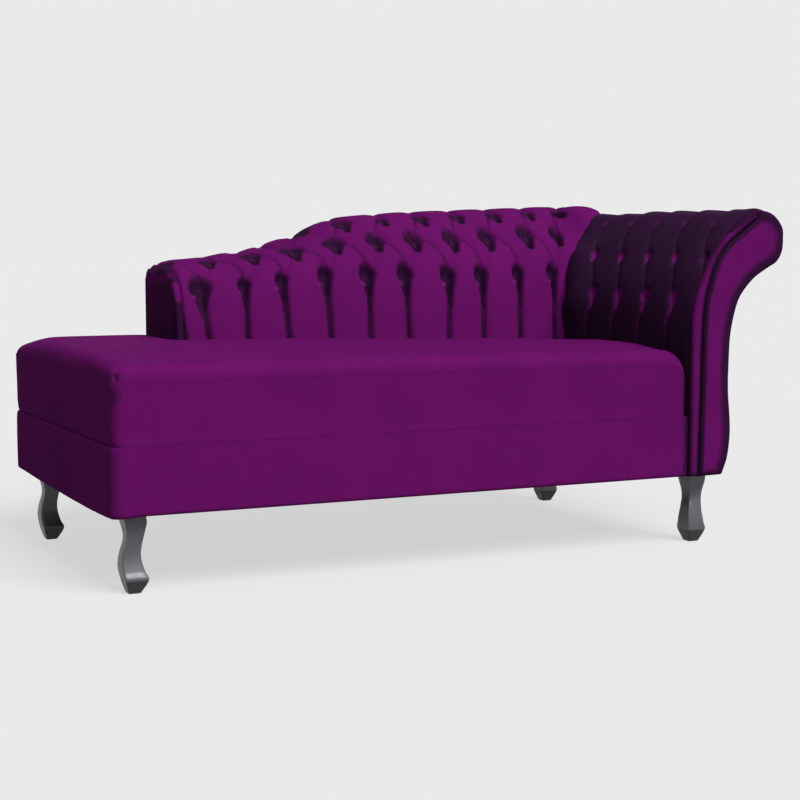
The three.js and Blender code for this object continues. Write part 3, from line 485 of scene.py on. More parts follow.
def press_pit(pit, u, v, height, painted_shade_and_light):
    """A buttoned hollow: round above its button and drawn out to a tail below."""
    at_u, at_v, half, up, down, tail = pit
    du, dv = u - at_u, v - at_v
    near = (np.abs(du) < half * 1.3) & (dv < up * 1.3) & (dv > -down * 1.4)
    du, dv = du[near], dv[near]
    width = tail + (half - tail) * np.clip(1 + dv / down, 0, 1) ** 1.3
    spread = np.where(dv > 0, np.hypot(du / half, dv / up), np.abs(du) / width)
    held = fade(0.25, 1.12, spread) * blend(-down * 1.35, -down * 0.45, dv)
    height[near] *= 1 - PIT_DEPTH * held
    feathered = np.where(dv > 0, blend(0.60, 1.25, spread), blend(0.70, 1.05, spread))
    # Painted tone in the hollow: shade on the back, highlight on the arm
    painted_shade_and_light[near] = np.maximum(painted_shade_and_light[near], 1 - feathered - fade(-down * 1.3, -down, dv))


def press(pleats, pits, reach, u, v):
    """How far each point stands above the buttons, from 0 to 1, and how much painted tone it carries: shade
    on the back, highlight on the arm.
    """
    height, painted_shade_and_light = np.ones_like(u), np.zeros_like(u)
    for item in pleats:
        press_pleat(item, reach, u, v, height, painted_shade_and_light)
    for pit in pits:
        press_pit(pit, u, v, height, painted_shade_and_light)
    return height, np.clip(painted_shade_and_light, 0, 1)


def gathers(pits, u, v, seed):
    """Fine puckers that fan up from each button, in millimetres of depth."""
    random = np.random.default_rng(seed)
    drop = np.zeros_like(u)
    for at_u, at_v, half, up, _, _ in pits:
        near = (np.abs(u - at_u) < half * 1.6) & (v > at_v - 4) & (v < at_v + up * 1.9)
        du, dv = u[near] - at_u, v[near] - at_v
        for k in (-1.2, 0.0, 1.2):
            lean = 0.30 * (k + random.uniform(-0.3, 0.3)) - 0.06
            tall = up * random.uniform(1.1, 1.7)
            line = du - lean * dv - 2.5 * k
            shown = blend(10, 22, dv) * fade(tall * 0.6, tall, dv)
            drop[near] += random.uniform(0.8, 1.5) * np.exp(-((line / 3.4) ** 2)) * shown
    return drop


# The back


def back_buttons():
    """The back's three rows of buttons in its flat places."""
    rows = zip((LOW_ROW, MIDDLE_ROW, UPPER_ROW), ROW_ARCS[2:5])
    return [[(x, arc) for x, _ in row] for row, arc in rows]


def back_pits():
    """The hollows: place, half width, reach up and down, and the width of the tail below."""
    low, middle, upper = back_buttons()
    found = [(x - 8, arc - 10, 25 * pull, 32 * pull, 66, 5 * pull) for (x, arc), pull in zip(low, LOW_PULL)]
    for (x, arc), pull in zip(middle[1:], MIDDLE_PULL[1:]):
        lean, taller = 10 + 6 * blend(900, 1000, x), 14 * blend(700, 860, x)
        found.append((x - lean, arc - 20, 28 * pull, 36 * pull + taller, 36 * pull, 10))
    found.append((middle[0][0] + 2, middle[0][1] + 62, 36, 88, 52, 14))
    found += [(x - 8, arc - 26, 25 * pull, 34 * pull, 34 * pull, 10)
              for (x, arc), pull in zip(upper[1:], UPPER_PULL[1:])]
    found.append((upper[0][0] + 2, upper[0][1] + 12, 32, 38, 42, 10))
    return found


def back_pleats():
    """The pleats: from the low row to the seat, between the rows, and up to the crest."""
    low, middle, upper = back_buttons()
    crest = ROW_ARCS[-1] + 12
    found = []
    for button, foot in zip(low, SEAT_FOLDS):
        found.append(pleat(button, (foot, -25), (0.50, 0.62), (13, 15), -4, (0.9, 1.0)))
    lower = [(button, middle[k], middle[k + 1]) for k, button in enumerate(low)]
    higher = [(button, middle[k + 3], middle[k + 4] if k + 4 < len(middle) else None)
              for k, button in enumerate(upper)]
    for button, left, right in lower + higher:
        found.append(pleat(button, left, (0.30, 0.22), (7, 6), -10, (0.75, 0.6), 0.20))
        if right:
            found.append(pleat(button, right, (0.16, 0.12), (8, 8), -5, (0.15, 0.1), 0.20))
    for button, x in zip(middle[:4] + upper, CREST_FOLDS):
        found.append(pleat(button, (x, crest), (0.5, 0.9), (12, 16), 0, (0.5, 0.3)))
    return found


def back_line(x, row):
    """The surface that the buttons pull down to: depth and height by place along the couch and by row."""
    crest = along(CREST_LINE, x)
    upper = along(UPPER_LINE, x)
    upper = upper - np.maximum(upper - crest + 10, 0) * blend(1400, 1460, x)
    heights = [np.full_like(x, SEAM + 2), np.full_like(x, 446.0), along(LOW_ROW, x), along(MIDDLE_ROW, x),
               upper, crest]
    over_arm = along(OVER_ARM, row) * blend(1385, 1455, x)
    return smooth(ROW_DEPTHS, row + 1) - over_arm, smooth(heights, row + 1)


def crest_notch(x):
    """How far the crest is drawn down at its pleats."""
    return sum(depth * bump(x, place, NOTCH_WIDTH) for place, depth in CREST_NOTCHES)


def back_point(x, row, offset):
    """A place on the back, raised square to the buttons' surface by an offset."""
    row_in = np.minimum(row, 3.95)
    y, z = back_line(x, row)
    y0, z0 = back_line(x, row_in - SMALL_STEP)
    y1, z1 = back_line(x, row_in + SMALL_STEP)
    size = np.hypot(y1 - y0, z1 - z0)
    return np.stack([x, y - (z1 - z0) / size * offset, z + (y1 - y0) / size * offset], -1)


def back_puff(x, row):
    """How far the padding swells, which grows from the open end to the high part."""
    share = blend(640, 780, x)
    return straight(PUFF_LEFT, row + 1) * (1 - share) + straight(PUFF_RIGHT, row + 1) * share


def back_end_at(z):
    """Where the back's right end tucks into the arm, or over it near the crest."""
    return along([(h, x + 15) for x, h in ARM_CURVE[:4]] + BACK_TUCK, z)


def back_grid(sizes):
    """Places along the couch and rows up the padding. The last columns fan out to the arm."""
    step = sizes.grid / MM
    rows = stretches((-1, -0.25, 0.25), (-0.25, 4, step / BACK_ROW_STEP))
    even = np.repeat(stretches((PAD_LEFT, BACK_EVEN_END, step))[:, None], len(rows), 1)
    share = np.linspace(0, 1, int(BACK_FAN_WIDTH / step) + 1)[1:, None]
    ends = np.full_like(rows, BACK_END_GUESS)
    for _ in range(4):
        ends = back_end_at(back_line(ends, rows)[1])
    x = np.concatenate([even, BACK_EVEN_END + (ends - BACK_EVEN_END) * share])
    return x, np.broadcast_to(rows, x.shape)


def back_surface(sizes):
    """The back's outer and inner points, and how much painted shade the outer ones carry."""
    grids = back_grid(sizes)
    shape = grids[0].shape + (3,)
    x, row = (grid.ravel() for grid in grids)
    arc = straight(ROW_ARCS, row + 1)
    rise, painted_shade_and_light = press(back_pleats(), back_pits(), sizes.fold_width / MM, x, arc)
    lift = back_puff(x, row) * rise - gathers(back_pits(), x, arc, BACK_SEED)
    lift = np.where(row < -0.3, 18, lift)
    lift -= 0.8 * rounded(x - PAD_LEFT, 13) * (row > -0.3)
    lift *= 1 - 0.8 * blend(1470, 1565, x) * blend(2.3, 2.9, row)
    lift -= crest_notch(x) * blend(3.0, 3.75, row)
    lift = np.where(row > 0, np.maximum(lift, 1.0), lift)
    # Painted shade along the back's open end
    painted_shade_and_light = np.maximum(painted_shade_and_light, fade(-3, 5, x - along(SHADED_END, arc)))
    outer, inner = back_point(x, row, lift), back_point(x, row, np.full_like(x, -BACK_INNER_DEPTH))
    for skin in (outer, inner):
        skin[:, 1] = np.minimum(skin[:, 1], PAD_REAR - 0.2)
    return outer.reshape(shape), inner.reshape(shape), painted_shade_and_light


def cushion_button(name, centre, normal, size, material, lit=False):
    """A covered button: a low dome with a pinched rim, facing along a normal. A lit one carries a painted
    highlight.
    """
    radius = size / MM / 2
    across = np.cross(normal, (0, 1, 0.3))
    across /= np.linalg.norm(across)
    upward = np.cross(normal, across)
    points, faces = [centre + normal * BUTTON_PROFILE[0][1]], []
    for share, height in BUTTON_PROFILE[1:]:
        for k in range(BUTTON_SIDES):
            turn = 2 * math.pi * k / BUTTON_SIDES
            spread = across * math.cos(turn) + upward * math.sin(turn)
            points.append(centre + normal * height + spread * radius * share)
    rings = [range(first, first + BUTTON_SIDES) for first in range(1, len(points), BUTTON_SIDES)]
    for k in range(BUTTON_SIDES):
        n = (k + 1) % BUTTON_SIDES
        faces.append((0, rings[0][k], rings[0][n]))
        faces += [(above[k], below[k], below[n], above[n]) for above, below in zip(rings[:-1], rings[1:])]
    faces.append(rings[-1])
    marks = np.full(len(points), BUTTON_LIT if lit else 0.0)
    return piece_from(name, to_frame(points), faces, material, "velvet", marks)


# The arm


def arm_line(place, offset=0.0):
    """Points of the scroll inside and over the top, moved outwards by an offset."""
    return beside_line(ARM_CURVE, place, offset)


def outer_line(count, inset=0.0):
    """An even count of points down the arm's outside, set in from it."""
    return beside_line(ARM_OUTER, np.linspace(0.05, len(ARM_OUTER) - 1, count), -inset)


def arm_buttons():
    """The buttons of each row, by their places from front to rear; the middle row is staggered."""
    places = [ARM_BUTTON_START + ARM_PITCH * k for k in range(-1, 5)]
    return {2: places, 3: [y + ARM_PITCH / 2 for y in places], 4: places}


def arm_pits():
    """The hollows round the arm's buttons, as for the back."""
    rows = arm_buttons()
    found = [(y, ARM_ARCS[2] + 4, 19, 22, 42, 2.5) for y in rows[2]]
    found += [(y, ARM_ARCS[3], 14, 18, 14, 4) for y in rows[3]]
    found += [(y, ARM_ARCS[4], 8, 13, 8, 4) for y in rows[4]]
    return [pit for pit in found if pit[0] < 610]


def arm_pleats():
    """The pleats: down to the seat, over the scroll, between the rows, and where the back joins."""
    rows = arm_buttons()
    arc = {row: ARM_ARCS[row] for row in rows}
    found = []
    for y in rows[2]:
        found.append(pleat((y, arc[2]), (y + 12, -12), (0.45, 0.35), (7, 6), 8, (1.0, 0.5)))
        found.append(pleat((y, arc[4]), (y - 6, ARM_ARCS[7]), (0.8, 0.8), (11, 9), 0, (0.25, 0.1)))
        for side in (-1, 1):
            for row, bow in ((2, 4 * side), (4, -4 * side)):
                middle = (y + side * ARM_PITCH / 2, arc[3])
                found.append(pleat((y, arc[row]), middle, (0.12, 0.12), (9, 9), bow, (0.1, 0), 0.16))
    depths = [(0.6, 0.5), (0.5, 0.2), (0.2, 0.1)]
    for start, end, depth in zip(ARM_JOINT, ARM_JOINT[1:], depths):
        found.append(pleat(start, end, depth, (26, 26)))
    return found


def arm_surface(sizes):
    """The arm's outer and inner points, and how strongly the outer ones carry a painted highlight."""
    step = sizes.grid / MM
    front, rear, edge = 0.4, PAD_REAR - 0.4, 11.0
    depths = stretches((front, front + edge, 1.6), (front + edge, rear - 8, step * 1.05), (rear - 8, rear, 2))
    places = stretches((0, 1, 0.12), (1, 5, step / ARM_ROW_STEP), (5, 10.9, 0.12))
    grid = np.meshgrid(depths, places, indexing="ij")
    y, place = (part.ravel() for part in grid)
    arc = straight(ARM_ARCS, place)
    at_back = blend(430, 540, y) * blend(1.0, 2.0, place) * fade(2.9, 3.6, place)
    puff = straight(ARM_PUFFS, place) + 16 * at_back
    rise, lit = press(arm_pleats(), arm_pits(), sizes.fold_width / MM, y, arc)
    drop = straight(ARM_PUFFS, place) - puff * rise + 0.8 * gathers(arm_pits(), y, arc, ARM_SEED)
    drop = np.where(place < 0.5, 0, drop)
    crest = arm_steps(y) + 4.5 * blend(380, 520, y)
    drop += crest * blend(4.3, 4.9, place) * fade(6.5, 7.5, place)
    drop += (edge - 1) / edge * rounded(y - front, edge) + 0.6 * rounded(rear - y, 8)
    # Painted highlight: only on each hollow's rear side, none near the front edge, and weaker higher up the
    # scroll
    lit *= caught_light(arm_pits(), y) * blend(20, 70, y) * (1 - 0.6 * blend(3.3, 3.7, place))
    skins = []
    for below in (drop, puff + 12):
        x, z = arm_line(place, -below)
        skins.append(np.stack([x, y, z], -1).reshape(grid[0].shape + (3,)))
    return *skins, lit


def arm_steps(y):
    """How far each puff over the scroll falls away from its rear pleat to the one in front."""
    share = ((y - ARM_BUTTON_START + 6) / ARM_PITCH) % 1
    return 6.5 * (1 - share) * blend(0, 0.07, share) * blend(10, 60, y)


def caught_light(pits, y):
    """Painted highlight on the rear side of each hollow, and none on its front side."""
    away = np.min([np.where(np.abs(y - pit[0]) < 40, y - pit[0], 40) for pit in pits], axis=0)
    return blend(-14, 2, away)


# The seat


def seat_top(x, y):
    """Height of the seat before its edges turn down: crowned at the open end, nearly flat by the arm."""
    rise = 30 + 48 * blend(640, 780, y)
    along_x = (1 - (1 - np.clip(x / rise, 0, 1)) ** 2) * (1 - blend(300, ARM_INNER, x) * 0.80)
    back = np.where(x > CHAISE_END, 1, 0.45 + 0.55 * np.clip((REAR - y) / 40, 0, 1) ** 0.5)
    front = 0.3 + 0.7 * np.clip(y / 200, 0, 1) ** 0.6
    at_arm = blend(1150, SEAT_RIGHT, x) * (4 * bump(y, 270, 170) - 6 * blend(330, 520, y))
    return SEAT_HEIGHT + 23 * along_x * front * back + at_arm


def seat_fall(x, y, radius):
    """How far the seat's top turns down near each of its edges."""
    tuck, sharp = 12.0, radius * (0.42 + 0.15 * blend(600, 780, y))
    at_end = x < CHAISE_END
    edges = [(x, sharp), (y, radius * (1 + 0.3 * blend(1200, SEAT_RIGHT, x))),
             (np.where(at_end, SEAT_REAR, SEAT_BACK_LINE) - y, np.where(at_end, sharp, tuck)),
             (np.where(y > SEAT_BACK_LINE, CHAISE_END - x, tuck), tuck)]
    shares = [np.clip(1 - np.maximum(away, 0) / size, 0, 1) for away, size in edges]
    weight = sum(share ** 2 for share in shares)
    size = sum(share ** 2 * size for share, (_, size) in zip(shares, edges)) / np.maximum(weight, 1e-9)
    beside_arm = 1.5 * radius + (tuck - 1.5 * radius) * blend(40, 200, y)
    return size * (1 - np.sqrt(1 - np.minimum(weight, 1))) + rounded(SEAT_RIGHT - x, beside_arm)


def round_corners(x, y, corners):
    """Rounds corners in plan, each given by its place, its inward sides and its radius."""
    for cx, cy, sx, sy, radius in corners:
        dx, dy = (x - cx) * sx - radius, (y - cy) * sy - radius
        inside = (dx < 0) & (dy < 0)
        scale = np.where(inside, np.maximum(-dx, -dy) / np.maximum(np.hypot(dx, dy), 1e-9), 1)
        x = np.where(inside, cx + sx * (radius + dx * scale), x)
        y = np.where(inside, cy + sy * (radius + dy * scale), y)
    return x, y


def seat_mesh(sizes):
    """The seat's points and faces: its top, an L in plan, its side, and a flat underside."""
    radius = sizes.seat_edge / MM
    fine, coarse = 2.5, 11.0
    full, strip = 1.5 * radius, 15
    xs = stretches((0, radius, fine), (radius, CHAISE_END - strip, coarse),
                   (CHAISE_END - strip, CHAISE_END, fine),
                   (CHAISE_END, SEAT_RIGHT - full, coarse), (SEAT_RIGHT - full, SEAT_RIGHT, fine))
    ys = stretches((0, full, fine), (full, SEAT_BACK_LINE - strip, coarse),
                   (SEAT_BACK_LINE - strip, SEAT_BACK_LINE, fine),
                   (SEAT_BACK_LINE, SEAT_REAR - radius, coarse), (SEAT_REAR - radius, SEAT_REAR, fine))
    x, y = np.meshgrid(xs, ys, indexing="ij")
    z = seat_top(x, y) - seat_fall(x, y, radius)
    px, py = round_corners(x, y, [(0, 0, 1, 1, NEAR_CORNER), (0, SEAT_REAR, 1, -1, REAR_CORNER),
                                  (SEAT_RIGHT, 0, -1, 1, ARM_CORNER)])
    points = [tuple(p) for p in np.stack([px, py, z], -1).reshape(-1, 3)]
    middle_x, middle_y = (xs[:-1] + xs[1:]) / 2, (ys[:-1] + ys[1:]) / 2
    kept = (middle_x[:, None] < CHAISE_END) | (middle_y[None, :] < SEAT_BACK_LINE)
    top = quads(np.arange(x.size).reshape(x.shape)).reshape(len(xs) - 1, len(ys) - 1, 4)[kept]
    rim = rim_of(top)
    outline = np.array([points[k] for k in rim])
    outward = -left_normals(outline[:, :2], closed=True)
    faces = [list(face) for face in top]
    below = rim
    for height, drawn in seat_side(outline, sizes.seam_dip / MM):
        ring = outline[:, :2] - outward * drawn[:, None]
        first = len(points)
        points += [(a, b, c) for (a, b), c in zip(ring, height)]
        level = list(range(first, first + len(rim)))
        faces += [[below[k - 1], below[k], level[k], level[k - 1]] for k in range(len(rim))]
        below = level
    faces.append(below[::-1])
    used = sorted({k for face in faces for k in face})
    new = {old: k for k, old in enumerate(used)}
    return np.array([points[k] for k in used]), [[new[k] for k in face] for face in faces]


def rim_of(faces):
    """The points round the edge of a sheet of faces, in order."""
    edges = {(a, b) for face in faces for a, b in zip(face, np.roll(face, -1))}
    onward = {a: b for a, b in edges if (b, a) not in edges}
    rim = [min(onward)]
    while onward[rim[-1]] != rim[0]:
        rim.append(onward[rim[-1]])
    return rim


def seat_side(outline, dip):
    """For each level of the seat's side, from the top down: its height and how far it is drawn in. In full
    runs the cloth simulation gives the side most of its crown."""
    low = SEAM + 0.05
    crown_rise = 0.3
    at_end = at_open_end(outline[:, 0])
    for share in np.concatenate([np.linspace(0.97, 0.12, 24), [0.09, 0.06, 0.04, 0.022, 0.01, 0.003, 0.0]]):
        height = low + (outline[:, 2] - low) * share
        crown = crown_rise * (1 + 0.5 * at_end) * math.sin(math.pi * share ** 1.9)
        turned_in = 1 - math.sqrt(1 - max(0.0, 1 - share / 0.06) ** 2)
        tuck = 3.4 * at_end * max(0.0, 1 - share / 0.26) ** 2
        yield height, seam_draw(outline[:, 0], dip) * turned_in + tuck - crown + 0.8


def filled_out(points, faces):
    """The seat's points once a short cloth simulation has blown its cover out. The simulation runs on an
    even copy, held at the seam and where the back and the arm hide it. Each point follows the copy's
    nearest points, by no more than CLOTH_REACH."""
    scene = bpy.context.scene
    mesh = bpy.data.meshes.new("seat_cloth")
    mesh.from_pydata([tuple(p) for p in to_frame(points)], [], faces)
    cover = bpy.data.objects.new("seat_cloth", mesh)
    scene.collection.objects.link(cover)
    even = cover.modifiers.new("Even mesh", "REMESH")
    even.mode = "VOXEL"
    even.voxel_size = CLOTH_MESH
    cover.data = bpy.data.meshes.new_from_object(worked_out(cover))
    cover.modifiers.clear()
    rest = mesh_points(cover)
    x, y, z = ((rest - ORIGIN) / MM).T
    hidden = (x > SEAT_RIGHT - 6) | ((x > CHAISE_END - 6) & (y > SEAT_BACK_LINE - 6)) | (y > SEAT_REAR - 3)
    held = cover.vertex_groups.new(name="held")
    held.add([int(k) for k in np.flatnonzero(hidden | (z < SEAM + 7))], 1.0, "REPLACE")
    cloth = cover.modifiers.new("Cloth", "CLOTH").settings
    cloth.vertex_group_mass = "held"
    cloth.use_pressure = True
    cloth.uniform_pressure_force = CLOTH_PRESSURE
    cloth.effector_weights.gravity = 0
    for moment in range(1, CLOTH_FRAMES + 1):
        scene.frame_set(moment)
    shift = (mesh_points(worked_out(cover)) - rest) / MM
    scene.frame_set(1)
    bpy.data.objects.remove(cover)
    shift *= CLOTH_REACH / (CLOTH_REACH + np.linalg.norm(shift, axis=1, keepdims=True))
    near = KDTree(len(rest))
    for k, place in enumerate(rest):
        near.insert(place, k)
    near.balance()
    moved = np.array(points, float)
    for k, place in enumerate(to_frame(points)):
        found = near.find_n(place, 6)
        weights = np.array([1 / (distance + 1e-4) for _, _, distance in found])
        moved[k] += weights @ shift[[index for _, index, _ in found]] / weights.sum()
    return moved


def worked_out(thing):
    return thing.evaluated_get(bpy.context.evaluated_depsgraph_get())


def mesh_points(thing):
    flat = np.empty(len(thing.data.vertices) * 3)
    thing.data.vertices.foreach_get("co", flat)
    return flat.reshape(-1, 3)


def at_open_end(x):
    return fade(0, 26, x)


def seam_draw(x, dip):
    """The seam is drawn in deeply at the open end and lies almost flush along the front."""
    return dip * (0.06 + 0.55 * at_open_end(x))


def seat_wrinkles(points):
    """Adds a dent at the near corner, soft creases over the open end and a slow wave along the front edge."""
    x, y, z = points.T.copy()
    corner = np.hypot(x - 7, y - 7)
    dent = bump(corner, 0, 20) * bump(z, 430, 14)
    x += 1.2 * dent
    y += 0.8 * dent
    on_side = blend(0, 20, SEAM + 160 - z)
    slant = z - 395 - 0.28 * y
    left = bump(x, 0, 9) * on_side
    x += left * (1.4 * bump(slant, 0, 11) + 1.1 * bump(z - 372 + 0.20 * y, 0, 12)) * fade(220, 420, y)
    x += left * np.sin(y / 70.0 + z / 38.0)
    z += 0.8 * np.sin(x / 118.0 + 1.0) * bump(y, 0, 60) * blend(420, 440, z)
    return np.stack([x, y, z], -1)


def seat_marks(points):
    """Painted shade on the seat: a spot on the near corner, a smear below it, creases beside it,
    and the margin at the arm."""
    x, y, z = points.T
    corner = np.hypot(x - 4, y - 4)
    spot = 0.9 * bump(corner, 0, 18) * bump(z, 437, 9)
    smear = 0.75 * bump(corner, 0, 15) * blend(372, 392, z) * fade(408, 424, z)
    creases = 0.25 * bump(x, 0, 8) * bump(z - 404 - 0.5 * y, 0, 7) * fade(60, 110, y) * blend(20, 34, y)
    at_arm = beside_border(x + 4) * fade(0, 40, y) * fade(420, 450, z)
    return np.clip(spot + smear + creases + at_arm, 0, 1)


# Node groups for the finishes


def new_group(name, inputs, outputs):
    group = bpy.data.node_groups.new(name, "ShaderNodeTree")
    for label, kind, value in inputs:
        socket = group.interface.new_socket(label, in_out="INPUT", socket_type=kind)
        socket.default_value = value
    for label, kind in outputs:
        group.interface.new_socket(label, in_out="OUTPUT", socket_type=kind)
    return group, group.nodes.new("NodeGroupInput"), group.nodes.new("NodeGroupOutput")


def feed(tree, sockets, values):
    """Gives sockets their values: another node's output or a plain value."""
    for socket, value in zip(sockets, values):
        if isinstance(value, bpy.types.NodeSocket):
            tree.links.new(value, socket)
        else:
            socket.default_value = value


def set_inputs(tree, node, values):
    feed(tree, [node.inputs[name] for name in values], values.values())


def add(tree, kind, **settings):
    """A shader node with its inputs and its own settings."""
    node = tree.nodes.new("ShaderNode" + kind)
    for name, value in settings.items():
        if name in node.inputs:
            feed(tree, [node.inputs[name]], [value])
        else:
            setattr(node, name, value)
    return node


def math_node(tree, operation, *values):
    node = add(tree, "Math", operation=operation)
    feed(tree, node.inputs, values)
    return node.outputs[0]


def times(tree, first, second):
    return math_node(tree, "MULTIPLY", first, second)


def mix_colours(tree, share, first, second):
    node = add(tree, "Mix", data_type="RGBA")
    feed(tree, (node.inputs[0], node.inputs[6], node.inputs[7]), (share, first, second))
    return node.outputs[2]


def object_place(tree, stretch=(1, 1, 1)):
    coordinates = add(tree, "TexCoord").outputs["Object"]
    return add(tree, "Mapping", Vector=coordinates, Scale=stretch).outputs["Vector"]


def noise(tree, place, scale, detail=2.0, rough=0.5):
    return add(tree, "TexNoise", Vector=place, Scale=scale, Detail=detail, Roughness=rough).outputs["Fac"]


def spread(tree, value, low, high):
    """A value stretched so that low becomes 0 and high becomes 1, and held between them."""
    node = add(tree, "MapRange", clamp=True, Value=value, **{"From Min": low, "From Max": high})
    return node.outputs["Result"]


def velvet_group():
    """Velvet pile: patches where it lies the other way, brushed streaks, a painted tone where the mesh's mask
    marks it (painted shade on the plain velvet, painted highlight on its shaded copy) and a fine pile.
    """
    group, inside, outside = new_group(
        "Velvet pile",
        [("Smooth", "NodeSocketColor", (1, 1, 1, 1)), ("Brushed", "NodeSocketColor", (0, 0, 0, 1)),
         ("Crushed", "NodeSocketColor", (0, 0, 0, 1)), ("Crushed mask", "NodeSocketFloat", 0.0),
         ("Patches", "NodeSocketFloat", 0.5), ("Pile", "NodeSocketFloat", 0.4)],
        [("Colour", "NodeSocketColor"), ("Roughness", "NodeSocketFloat"), ("Height", "NodeSocketFloat")])
    place = object_place(group)
    streaked = object_place(group, (1, 1, 0.35))
    patches = spread(group, noise(group, place, 7.0, 3.0), 0.38, 0.72)
    streaks = spread(group, noise(group, streaked, 46.0, 3.0), 0.42, 0.70)
    both = math_node(group, "MULTIPLY_ADD", streaks, 0.45, patches)
    share = times(group, both, inside.outputs["Patches"])
    tone = mix_colours(group, share, inside.outputs["Smooth"], inside.outputs["Brushed"])
    combed = noise(group, object_place(group, (1, 1, 0.22)), 190.0, 3.0)
    ragged = times(group, math_node(group, "SUBTRACT", combed, 0.5), 5.0)
    # Mixes in the painted tone where the mesh's mask marks it, with a combed edge: painted shade on the plain
    # velvet, painted highlight on its shaded copy
    painted_shade_and_light = inside.outputs["Crushed mask"]
    room = times(group, painted_shade_and_light, math_node(group, "SUBTRACT", 1.0, painted_shade_and_light))
    mask = spread(group, math_node(group, "ADD", painted_shade_and_light, times(group, ragged, room)), 0.12, 0.88)
    tone = mix_colours(group, mask, tone, inside.outputs["Crushed"])
    fine = spread(group, noise(group, place, 1900.0, 1.0), 0.3, 0.7)
    speck = mix_colours(group, times(group, fine, 0.2), tone, inside.outputs["Brushed"])
    rough = math_node(group, "MULTIPLY_ADD", share, 0.12, 0.78)
    weave = times(group, noise(group, place, 420.0, 2.0), 0.6)
    height = math_node(group, "ADD", times(group, fine, inside.outputs["Pile"]), weave)
    feed(group, outside.inputs, (speck, rough, height))
    return group


def grain_group():
    """Wood grain along one axis: growth bands and pores."""
    group, inside, outside = new_group(
        "Wood grain",
        [("Light", "NodeSocketColor", (1, 1, 1, 1)), ("Dark", "NodeSocketColor", (0, 0, 0, 1)),
         ("Strength", "NodeSocketFloat", 0.6)],
        [("Colour", "NodeSocketColor"), ("Height", "NodeSocketFloat")])
    long_way = object_place(group, (3, 22, 22))
    fine_way = object_place(group, (30, 420, 420))
    bands = add(group, "TexWave", Vector=long_way, Scale=1.6, Distortion=5.0, Detail=3.0)
    pores = spread(group, noise(group, fine_way, 1.0, 3.0), 0.35, 0.75)
    mixed = math_node(group, "ADD", times(group, bands.outputs["Fac"], 0.6), times(group, pores, 0.4))
    share = times(group, mixed, inside.outputs["Strength"])
    tone = mix_colours(group, share, inside.outputs["Light"], inside.outputs["Dark"])
    feed(group, outside.inputs, (tone, mixed))
    return group


def weave_group():
    """Threads crossing at right angles, seen from any side."""
    group, inside, outside = new_group(
        "Crossed threads",
        [("Threads", "NodeSocketFloat", 900.0), ("Light", "NodeSocketColor", (1, 1, 1, 1)),
         ("Dark", "NodeSocketColor", (0, 0, 0, 1))],
        [("Colour", "NodeSocketColor"), ("Height", "NodeSocketFloat")])
    place = object_place(group)
    waves = (add(group, "TexWave", Vector=place, Scale=inside.outputs["Threads"], Distortion=0.4, Detail=1.0,
                 bands_direction=axis).outputs["Fac"] for axis in ("X", "Y"))
    crossed = times(group, *waves)
    tone = mix_colours(group, crossed, inside.outputs["Dark"], inside.outputs["Light"])
    feed(group, outside.inputs, (tone, crossed))
    return group


def group_once(name, maker):
    return bpy.data.node_groups.get(name) or maker()


def begin_material(name):
    material = bpy.data.materials.new(name)
    material.use_nodes = True
    tree = material.node_tree
    tree.nodes.clear()
    shader = add(tree, "BsdfPrincipled")
    add(tree, "OutputMaterial", Surface=shader.outputs["BSDF"])
    return material, tree, shader


def place_group(tree, group, **values):
    node = add(tree, "Group", node_tree=group)
    set_inputs(tree, node, values)
    return node


def relief(tree, height, strength, distance=0.0006):
    """A bumped surface normal by a height."""
    return add(tree, "Bump", Height=height, Strength=strength, Distance=distance).outputs["Normal"]


def with_alpha(colour, share=1.0):
    """A colour, or a share of it where it is to be darker, as a node wants it."""
    return (*(c * share for c in colour), 1.0)


def velvet_material(name, smooth_tone, brushed, painted_shade_and_light, sheen, patches=0.5):
    """Velvet: its tone with the pile lying smooth, brushed up in patches, and a painted tone where the mesh
    marks it: painted shade on the plain velvet, painted highlight on its shaded copy.
    """
    found = bpy.data.materials.get(name)
    if found:
        return found
    material, tree, shader = begin_material(name)
    marks = add(tree, "Attribute", attribute_name="painted_shade_and_light", attribute_type="GEOMETRY")
    pile = place_group(tree, group_once("Velvet pile", velvet_group), Smooth=with_alpha(smooth_tone),
                       Brushed=with_alpha(brushed), Crushed=with_alpha(painted_shade_and_light), Patches=patches, Pile=0.5,
                       **{"Crushed mask": marks.outputs["Fac"]})
    set_inputs(tree, shader, {
        "Base Color": pile.outputs["Colour"], "Roughness": pile.outputs["Roughness"],
        "Normal": relief(tree, pile.outputs["Height"], 0.25), "Specular IOR Level": 0.008,
        "Sheen Weight": 0.005, "Sheen Roughness": 0.4, "Sheen Tint": with_alpha(sheen)})
    return material


def lacquer_material(colours):
    """The legs' satin lacquer, rubbed thin in places, with painted shade on the lowest part of each foot."""
    material, tree, shader = begin_material("Silver-grey lacquer")
    worn = with_alpha(colours.lacquer_worn_and_sole_shade)
    grain = place_group(tree, group_once("Wood grain", grain_group), Light=with_alpha(colours.lacquer),
                        Dark=worn, Strength=0.35)
    place = object_place(tree)
    rubbed = spread(tree, noise(tree, place, 26.0, 4.0, 0.6), 0.46, 0.72)
    tone = mix_colours(tree, times(tree, rubbed, 0.4), grain.outputs["Colour"], worn)
    height = add(tree, "SeparateXYZ", Vector=place).outputs["Z"]
    # Painted shade: darker below about 30 mm from the floor
    tone = mix_colours(tree, spread(tree, height, 0.031, 0.025), tone, with_alpha(colours.lacquer_worn_and_sole_shade, 0.4))
    set_inputs(tree, shader, {
        "Base Color": tone, "Roughness": math_node(tree, "MULTIPLY_ADD", rubbed, 0.16, 0.34),
        "Normal": relief(tree, grain.outputs["Height"], 0.12), "Metallic": 0.2, "Specular IOR Level": 0.3,
        "Coat Weight": 0.1, "Coat Roughness": 0.35})
    return material


